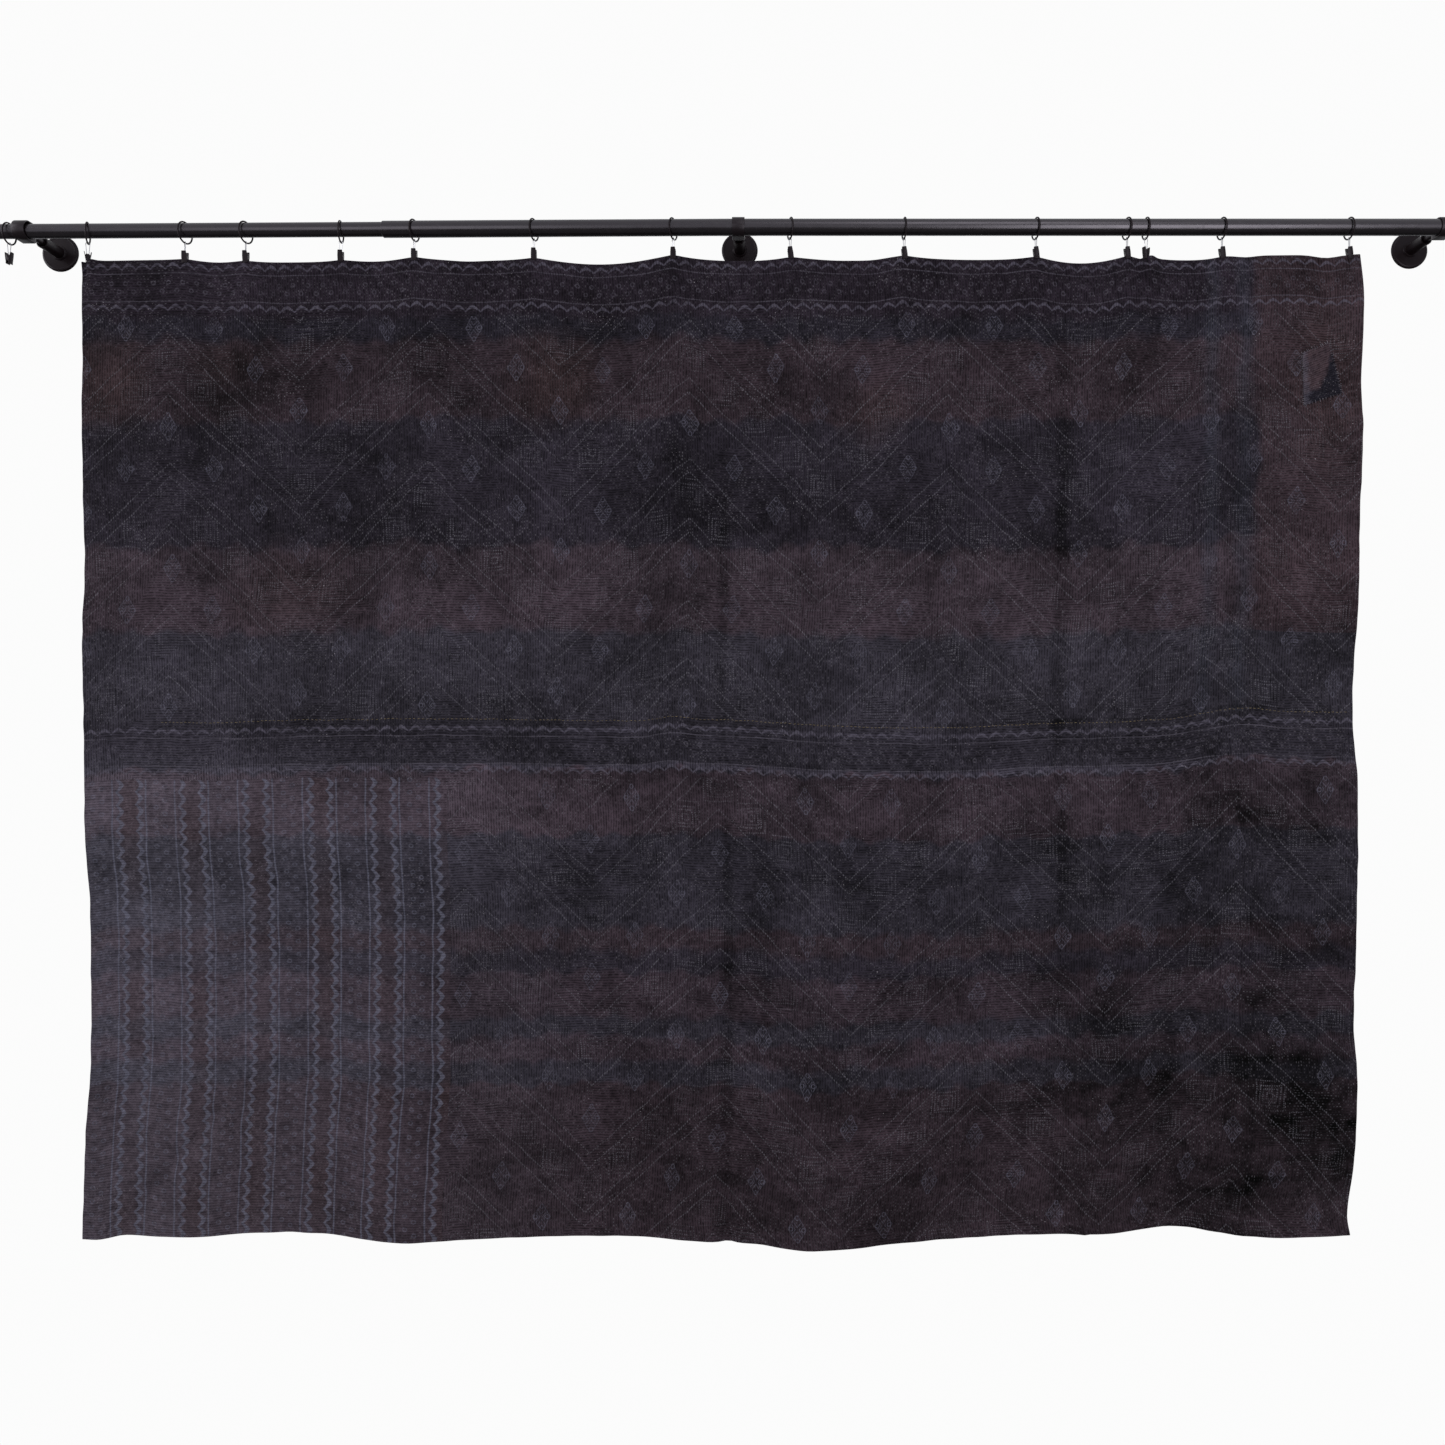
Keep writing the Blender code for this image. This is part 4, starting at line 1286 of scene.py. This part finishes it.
def make_cheek(at):
    """A flat side plate: a disc stretched towards both strips, with its lower half drawn down."""
    cheek = settled(turned("cheek", CHEEK_PROFILE, 20), (1, 0, 0), (at * MM, 0, 0))
    bpy.ops.object.mode_set(mode="EDIT")
    bpy.ops.mesh.select_all(action="SELECT")
    stretch = CHEEK_OUT / CHEEK_PROFILE[1][0]
    bpy.ops.transform.resize(value=(1, stretch, 1), center_override=(0, 0, 0))
    select_lower_half(cheek)
    bpy.ops.transform.translate(value=(0, 0, -CHEEK_TAIL * MM))
    bpy.ops.transform.resize(value=(1, CHEEK_TAPER, 1), center_override=(0, 0, 0))
    bpy.ops.object.mode_set(mode="OBJECT")
    return cheek


def make_clip():
    parts = [make_jaw(1), make_jaw(-1)]
    parts += [make_cheek(at) for at in (-CHEEK_AT, CHEEK_AT)]
    parts.append(settled(turned("pin", PIN_PROFILE, 12), (1, 0, 0)))
    parts += [spun_wire(COIL_RADIUS, COIL_WIRE, sides=6, steps=16, x=at) for at in COIL_PLACES]
    return joined("clip_model", parts)


clip_model = make_clip()
print("clip:", len(clip_model.data.polygons), "faces")

# %% [markdown]
# The quilt's shape is repeated here from the plain model, as short tables: the clips with the
# bow of the top edge between them, the seam and the three other edges, broad swells, and
# creases. The left edge is followed more closely than there, and small dips in the top edge
# and three creases are added. All are in millimetres, counted from the quilt's upper left
# corner.

# %% Tables of the hanging cloth
Clip = namedtuple("Clip", "along edge midway belly clip_turn ring_turn")
CLIPS = table(
    Clip, (9.5, 1, 2, 3, -61, 20), (163, -1.6, 3.2, -3, 1, -11), (259, 1, 6, 5, -2, -13),
    (409, 0, 1.6, -3, 2, 6), (525, -4.7, 3.2, 4, -1, -11), (714, -3.5, 5.2, -6, 1, -14),
    (934, -8.2, 3.8, 5, -2, -18), (1119, -4.7, -0.5, -5, 2, 14), (1299, -7.1, 2.5, 6, 1, 5),
    (1507, -5.4, 4.7, -3, -1, 9), (1651, -6.3, -4.5, 0, 1, 9), (1681, -5.4, 2.4, 4, -61, 3),
    (1801, -5.4, -9.2, -5, 1, 5), (2002, -7.9, -9, 0, -1, 1),
)
Offset = namedtuple("Offset", "at offset")
SEAM_LINE = table(
    Offset, (0, 6), (70, 3), (200, 4), (350, 0), (590, -2), (880, 1), (932, -6), (975, -2),
    (1062, 2), (1150, 8), (1305, 12), (1400, 11), (1500, 6), (1711, -1), (1770, -11),
    (1834, -19), (1894, -14), (2013, -12),
)
LOWER_EDGE = table(
    Offset, (0, 2), (25, 3), (70, -5), (158, 0), (300, -6), (389, -5), (504, 5), (679, -1),
    (877, -2), (965, 5), (1029, 4), (1073, 5), (1139, 12), (1183, 11), (1307, 4),
    (1499, -6), (1572, -6), (1632, -4), (1711, -11), (1751, -11), (1795, -6),
    (1844, -2), (1953, -5), (2013, -6),
)
LEFT_EDGE = table(
    Offset, (0, -3.6), (41, -0.7), (150, 1.6), (221, 0), (292, 0.6), (434, 3.9), (506, 4.6),
    (577, 0.6), (719, 3), (861, 4.5), (932, 6.8), (1003, 13), (1145, 15), (1288, 14),
    (1359, 7.5), (1430, 4.6), (1545, 1),
)
RIGHT_EDGE = table(
    Offset, (0, 6), (66, 12), (215, 8), (275, 11), (412, 6), (559, 3), (608, -1), (687, -6),
    (757, -5), (845, 2), (1082, -1), (1215, -6), (1294, 0), (1428, -5), (1512, -17),
    (1545, -11),
)
Swell = namedtuple("Swell", "along drop forward half_width half_height")
SWELLS = table(
    Swell, (1160, 1545, 18, 130, 420), (1720, 1545, -16, 90, 380), (300, 1500, -7, 120, 500),
    (500, 1400, 8, 70, 350), (1930, 1350, 8, 80, 450), (860, 1200, -6, 110, 400),
    (1390, 700, 6, 110, 300), (640, 500, 5, 120, 300), (230, 800, 5, 90, 260),
)
Crease = namedtuple("Crease", "along_0 drop_0 along_1 drop_1 forward half_width")
CREASES = table(
    Crease, (1018, 790, 1022, 1665, -7, 13), (1545, 25, 1543, 730, -6, 12),
    (1010, 330, 1016, 740, -4, 10), (1543, 740, 1548, 1500, -5, 12), (731, 70, 730, 720, -3, 16),
    (512, 60, 520, 700, 2.5, 18), (500, 990, 512, 1420, -6, 18), (629, 1212, 1450, 1216, -4, 14),
    (1553, 1512, 1593, 1540, 4, 9), (237, 1321, 87, 1493, -6, 8),
)
Dip = namedtuple("Dip", "along depth half_width")
TOP_DIPS = table(Dip, (1839, 2.8, 20), (1966, 5.5, 24), (1250, 1.5, 25), (610, 1.2, 25))
print(len(CLIPS), "clips,", len(SWELLS), "swells,", len(CREASES), "creases")

# %% [markdown]
# These functions read the tables. Between clips the top edge hangs in a bow and bellies
# forward or back. Two clips stand side-on, and the cloth turns in a small S where they grip
# it. On top of that the finished cloth puckers: the pull of the rows leaves shallow dimples a
# few centimetres across, and its outline is not quite even.

# %% The shape of the hanging cloth
QUILT_LEFT = -1037.1
QUILT_TOP = -51.6
S_FOLDS_AT = (9.5, 1681)
S_FOLD_HALF = 7
S_FOLD_DROP = 38
S_FOLD_DEPTH = 8
BELLY_DROP = 190
PUCKER = 0.9
PUCKER_BROAD = 70
PUCKER_SMALL = 26
UNEVEN = 1.1


def bell(x):
    """1 at zero, falling smoothly to nothing on both sides."""
    return math.exp(-x * x)


def wavy(x, y, size, layer):
    """Smooth noise from -1 to 1, in patches of a size."""
    return noise.noise(Vector((x / size, y / size, layer)))


def between_clips(along):
    """The clips on both sides of a place, and how far it is from one to the other."""
    for here, there in zip(CLIPS, CLIPS[1:]):
        if along <= there.along:
            return here, there, (along - here.along) / (there.along - here.along)


def smooth_through(line, at):
    """A smooth curve through the rows of a line, read at one place."""
    places = [row.at for row in line]
    if at <= places[0]:
        return line[0].offset
    if at >= places[-1]:
        return line[-1].offset
    last = len(line) - 1
    i = max(k for k in range(last) if places[k] <= at)
    before, here, there, after = (line[min(max(k, 0), last)] for k in range(i - 1, i + 3))
    span = there.at - here.at
    slope_here = (there.offset - before.offset) / (there.at - before.at)
    slope_there = (after.offset - here.offset) / (after.at - here.at)
    t = (at - here.at) / span
    return (
        (1 + 2 * t) * (1 - t) ** 2 * here.offset
        + t * (1 - t) ** 2 * span * slope_here
        + t * t * (3 - 2 * t) * there.offset
        + t * t * (t - 1) * span * slope_there
    )


def upper_edge(along):
    """How far the top edge lies below the quilt's corner, with its small dips."""
    edge = bowed_edge(along)
    for dip in TOP_DIPS:
        edge += dip.depth * bell((along - dip.along) / dip.half_width)
    return edge


def bowed_edge(along):
    """The top edge without the dips: it hangs in a bow between clips."""
    if along <= CLIPS[0].along:
        return CLIPS[0].edge
    if along >= CLIPS[-1].along:
        t = min(1.0, (along - CLIPS[-1].along) / (WIDTH - CLIPS[-1].along))
        return CLIPS[-1].edge + t * (CLIPS[-1].midway - CLIPS[-1].edge)
    here, there, t = between_clips(along)
    level = here.edge + t * (there.edge - here.edge)
    return level + 4 * (here.midway - 0.5 * (here.edge + there.edge)) * t * (1 - t)


def belly(along, drop):
    if not CLIPS[0].along < along < CLIPS[-1].along:
        return 0.0
    here, _, t = between_clips(along)
    return here.belly * math.sin(math.pi * t) ** 2 * math.exp(-drop / BELLY_DROP)


def crease_depth(crease, along, drop):
    start = Vector((crease.along_0, crease.drop_0))
    run = Vector((crease.along_1, crease.drop_1)) - start
    here = Vector((along, drop)) - start
    t = here.dot(run) / run.dot(run)
    aside = (here - run * min(1.0, max(0.0, t))).length
    fade = min(1.0, max(0.0, min(t, 1 - t)) / 0.125)
    return crease.forward * fade * bell(aside / crease.half_width)


def s_fold(along, drop):
    total = 0.0
    for at in S_FOLDS_AT:
        u = (along - at) / S_FOLD_HALF
        total += S_FOLD_DEPTH * bell(drop / S_FOLD_DROP) * u * math.exp(0.5 - 0.5 * u * u)
    return total


def pucker(along, drop):
    """Shallow dimples, which fade out where a clip holds the cloth."""
    dimples = wavy(along, drop, PUCKER_BROAD, 0) + 0.6 * wavy(along, drop, PUCKER_SMALL, 9)
    return PUCKER * dimples * min(1.0, drop / 60)


def forward(along, drop):
    """How far the cloth stands towards the viewer, in millimetres."""
    total = belly(along, drop) + s_fold(along, drop) + pucker(along, drop)
    for swell in SWELLS:
        across = bell((along - swell.along) / swell.half_width)
        total += swell.forward * across * bell((drop - swell.drop) / swell.half_height)
    return total + sum(crease_depth(crease, along, drop) for crease in CREASES)


def cloth_point(along, drop, lift=0.0):
    """A place in the middle of the cloth, lifted towards the viewer, in metres."""
    y = ROD_Y - forward(along, drop) - lift
    return Vector((QUILT_LEFT + along, y, QUILT_TOP - drop)) * MM


def hung(fraction, level):
    """Where a spot of the flat cloth hangs: a fraction of the width, at a level."""
    left = smooth_through(LEFT_EDGE, level)
    right = WIDTH + smooth_through(RIGHT_EDGE, level)
    along = left + fraction * (right - left)
    seam = SEAM_DROP + smooth_through(SEAM_LINE, along)
    if level <= SEAM_DROP:
        top = upper_edge(along)
        drop = top + (seam - top) * level / SEAM_DROP
    else:
        foot = DROP + smooth_through(LOWER_EDGE, along)
        drop = seam + (foot - seam) * (level - SEAM_DROP) / (DROP - SEAM_DROP)
    ease = min(1.0, level / 40)
    sway = wavy(along, drop, 30, 21) * UNEVEN * ease
    lift = wavy(along, drop, 34, 33) * UNEVEN * ease
    return along + sway, drop + lift


print("cloth at its middle:", cloth_point(WIDTH / 2, DROP / 2))

# %% [markdown]
# The quilt is one grid with a mesh of about a centimetre, closer at the S folds, the seam and
# the edges. Its points are moved to where they hang, and its own map keeps where they lay on
# the flat cloth. Solidify gives the layers' thickness, with the unprinted back as a second
# material, and a bevel rounds the sewn edge.

# %% The quilt
MESH_PITCH = 10.0
S_FOLD_COLUMNS = (-15, -10.5, -7, -4.5, -2.2, 0, 2.2, 4.5, 7, 10.5, 15)
SEAM_ROWS = (722, 726, 729, 732, 736)
HEM = 2.5
HEM_ROWS = (HEM, 6, DROP - 6, DROP - HEM)
THICKNESS = 3.0
EDGE_RADIUS = 1.1


def spaced(length, pitch, extra, least):
    """Even places from 0 to a length, and extra ones, from which the even ones keep clear."""
    count = round(length / pitch)
    even = [length * i / count for i in range(1, count)]
    spare = [at for at in even if min(abs(at - near) for near in extra) > least]
    return sorted({0.0, float(length), *spare, *(at for at in extra if 0 < at < length)})


def mapped_grid(name, columns, rows, place, flat):
    """A grid moved to place(column, row), with a map that keeps flat(column, row)."""
    clear_selection()
    wide, high = len(columns) - 1, len(rows) - 1
    bpy.ops.mesh.primitive_grid_add(x_subdivisions=wide, y_subdivisions=high, size=1)
    obj = bpy.context.object
    obj.name = name
    mesh = obj.data
    spots = []
    for vertex in mesh.vertices:
        spot = columns[round((vertex.co.x + 0.5) * wide)], rows[round((0.5 - vertex.co.y) * high)]
        spots.append(spot)
        vertex.co = place(*spot)
    mesh.uv_layers[0].name = CLOTH_MAP
    layer = mesh.uv_layers[CLOTH_MAP].data
    for loop in mesh.loops:
        layer[loop.index].uv = flat(*spots[loop.vertex_index])
    return obj


def thickened(obj, thickness, back_material=0):
    only(obj)
    shell = obj.modifiers.new("thickness", "SOLIDIFY")
    shell.thickness = thickness * MM
    shell.offset = 0.0
    shell.use_rim = True
    shell.material_offset = back_material
    bpy.ops.object.modifier_apply(modifier=shell.name)
    return obj


def make_quilt():
    fold_columns = [at + step for at in S_FOLDS_AT for step in S_FOLD_COLUMNS]
    columns = spaced(WIDTH, MESH_PITCH, fold_columns + [HEM, WIDTH - HEM], least=4)
    rows = spaced(DROP, MESH_PITCH, SEAM_ROWS + HEM_ROWS, least=3)
    quilt = mapped_grid(
        "quilt_cloth", columns, rows,
        lambda along, level: cloth_point(*hung(along / WIDTH, level)),
        lambda along, level: (along * MM, level * MM),
    )
    quilt.data.materials.append(COTTON_FRONT)
    quilt.data.materials.append(COTTON_BACK)
    thickened(quilt, THICKNESS, back_material=1)
    rounded(quilt, EDGE_RADIUS, segments=3, sharper_than=60)
    bpy.ops.object.shade_smooth()
    return quilt


quilt = make_quilt()
print("quilt:", len(quilt.data.polygons), "faces")

# %% [markdown]
# Every clip on the quilt gets its own copy of the ring, link and clip. A ring hangs on the
# tube's top, and the link is turned midway between the ring and the clip's pin. One more ring
# hangs free at the left, outside the bracket. In the right half the clips that face the viewer
# lean a little, as the cloth pulls them aside.

# %% Hang the clip rings
FREE_RING_X = -1151.8
FREE_CLIP_TURN = 84
LEANING_FROM = 60.0
LEAN = math.radians(-8)
FACING = math.radians(28)


def ring_height(x):
    tube = THIN_RADIUS if x < MOUTH_X else THICK_RADIUS
    return rod_height(x) + tube + GAP - (RING_RADIUS - RING_WIRE)


def copied(model, name, matrix):
    """A copy with its own mesh, moved by a matrix, with its object at the origin."""
    copy = model.copy()
    copy.data = model.data.copy()
    copy.name = name
    copy.data.transform(matrix)
    bpy.context.scene.collection.objects.link(copy)
    return copy


def hang_clip_ring(name, x, clip_turn, ring_turn):
    clip_turn, ring_turn = math.radians(clip_turn), math.radians(ring_turn)
    wire = ring_height(x) - RING_RADIUS
    between = (math.pi / 2 + ring_turn - clip_turn + math.pi / 2) % math.pi - math.pi / 2
    link_turn = clip_turn + between / 2 - math.pi / 2

    def at(height, turn):
        place = Vector((x, ROD_Y, height)) * MM
        return Matrix.Translation(place) @ Matrix.Rotation(turn, 4, "Z")

    ring = copied(ring_model, f"wire_ring_{name}", at(ring_height(x), ring_turn))
    link = copied(link_model, f"wire_link_{name}", at(wire + LINK_ABOVE, link_turn))
    hangs = at(wire - RING_TO_PIN, clip_turn)
    if x > LEANING_FROM and abs(clip_turn) < FACING:
        hangs = hangs @ Matrix.Rotation(LEAN, 4, "Y")
    clip = copied(clip_model, f"spring_clip_{name}", hangs)
    finished(ring, DULL_BLACK, "black_metal", f"ring_{name}")
    finished(link, BRIGHT_WIRE, "bright_wire", f"link_{name}")
    return finished(clip, DULL_BLACK, "black_metal", f"clip_{name}")


hang_clip_ring("free", FREE_RING_X, FREE_CLIP_TURN, 0)
holding = [
    hang_clip_ring(f"{number:02d}", QUILT_LEFT + clip.along, clip.clip_turn, clip.ring_turn)
    for number, clip in enumerate(CLIPS, start=1)
]
for model in (ring_model, link_model, clip_model):
    bpy.data.objects.remove(model, do_unlink=True)
print(len(holding), "clips hold the quilt")

# %% [markdown]
# The two halves of the quilt are sewn together with a running stitch in yellow thread. A
# stitch is a short thread that rises out of the cloth and goes back in: a small circle
# extruded in an arc. It is modelled once, and copies of it are joined into one row. The row
# starts a little way in, because the thread is gone at the left end.

# %% Seam stitches
STITCH_LENGTH = 3.4
STITCH_RISE = 0.55
STITCH_RADIUS = 0.42
STITCH_SECTIONS = 5
STITCH_SUNK = 0.15
SEAM_STITCH_DROP = 727.0
SEAM_STITCH_PITCH = 6.6
SEAM_STITCHES_FROM = 126


def make_stitch():
    """A stitch along X, centred, that starts and ends a little inside the cloth (+Y)."""
    points = []
    for step in range(STITCH_SECTIONS + 1):
        share = step / STITCH_SECTIONS
        rise = STITCH_RISE * math.sin(math.pi * share) - STITCH_SUNK
        points.append(Vector(((share - 0.5) * STITCH_LENGTH, -rise, 0)) * MM)
    clear_selection()
    bpy.ops.mesh.primitive_circle_add(
        vertices=6, radius=STITCH_RADIUS * MM, fill_type="NGON", location=points[0],
        rotation=(0, math.radians(90), 0),
    )
    stitch = bpy.context.object
    bpy.ops.object.transform_apply()
    bpy.ops.object.mode_set(mode="EDIT")
    for here, there in zip(points, points[1:]):
        bpy.ops.mesh.extrude_region_move(TRANSFORM_OT_translate={"value": there - here})
    mend_surface()
    return stitch


def sewn(name, stitch, places, lift):
    """Joins copies of a stitch into one row. A place is (along, drop, turn, stretch)."""
    copies = []
    for number, (along, drop, turn, stretch) in enumerate(places):
        matrix = (
            Matrix.Translation(cloth_point(along, drop, lift))
            @ Matrix.Rotation(turn, 4, "Y")
            @ Matrix.Diagonal((stretch, 1, 1, 1))
        )
        copies.append(copied(stitch, f"{name}_{number}", matrix))
    return joined(name, copies)


chance = random.Random(7)
stitch_model = make_stitch()
seam_places = []
level_along = float(SEAM_STITCHES_FROM)
while level_along < WIDTH - 8:
    along, drop = hung(level_along / WIDTH, SEAM_STITCH_DROP + chance.uniform(-0.5, 0.5))
    slope = math.radians(chance.uniform(-4, 4))
    seam_places.append((along, drop, slope, chance.uniform(0.8, 1.15)))
    level_along += SEAM_STITCH_PITCH * chance.uniform(0.85, 1.15)
seam_stitches = sewn("seam_stitches", stitch_model, seam_places, THICKNESS / 2)
finished(seam_stitches, YELLOW_THREAD, "quilt_cotton")
print(len(seam_places), "seam stitches")

# %% [markdown]
# The mend is a scrap of cloth, cut a little crooked, laid over the quilt and whipped down
# round its edge with pale thread. It follows the quilt's surface at a small distance. Its
# stitches cross its edge, closest along the left side, as on the worn original.

# %% The mend
FOOT_LEFT = Vector((1930, 230))
TOP_LEFT = Vector((1928, 147))
TOP_RIGHT = Vector((1970, 130))
FOOT_RIGHT = Vector((1989, 211))
MEND_WIDE = 48
MEND_HIGH = 84
MEND_CUTS = 26
MEND_THICKNESS = 0.8
MEND_GAP = 0.5
WHIP_LIFT = 1.2
MEND_SIDES = (
    (FOOT_LEFT, TOP_LEFT, 3.0), (TOP_LEFT, TOP_RIGHT, 4.4), (TOP_RIGHT, FOOT_RIGHT, 4.0),
    (FOOT_RIGHT, FOOT_LEFT, 5.2),
)


def mend_place(s, t):
    at = TOP_LEFT.lerp(TOP_RIGHT, s).lerp(FOOT_LEFT.lerp(FOOT_RIGHT, s), t)
    rough = 0.7 * wavy(at.x, at.y, 5, 40)
    lift = THICKNESS / 2 + MEND_GAP + MEND_THICKNESS / 2
    return cloth_point(at.x + rough, at.y - rough, lift)


def make_mend():
    steps = [i / MEND_CUTS for i in range(MEND_CUTS + 1)]
    mend = mapped_grid(
        "mend_cloth", steps, steps, mend_place,
        lambda s, t: (s * MEND_WIDE * MM, t * MEND_HIGH * MM),
    )
    thickened(mend, MEND_THICKNESS)
    return finished(mend, MEND_COTTON, "patch_cotton", "mend_patch")


def whip_places():
    places = []
    for start, end, pitch in MEND_SIDES:
        run = end - start
        count = int(run.length / pitch)
        square = math.atan2(run.y, run.x) + math.pi / 2
        for i in range(count):
            at = start + run * ((i + chance.uniform(0.2, 0.8)) / count)
            turn = square + math.radians(chance.uniform(-24, 24))
            places.append((at.x, at.y, turn, chance.uniform(0.8, 1.7)))
    return places


mend = make_mend()
whip_stitches = sewn("mend_stitches", stitch_model, whip_places(), THICKNESS / 2 + WHIP_LIFT)
finished(whip_stitches, PALE_THREAD, "patch_cotton")
bpy.data.objects.remove(stitch_model, do_unlink=True)
print("mend:", len(mend.data.polygons), "faces")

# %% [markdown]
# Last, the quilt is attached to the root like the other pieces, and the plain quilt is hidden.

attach(quilt, ROOT)
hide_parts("quilt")
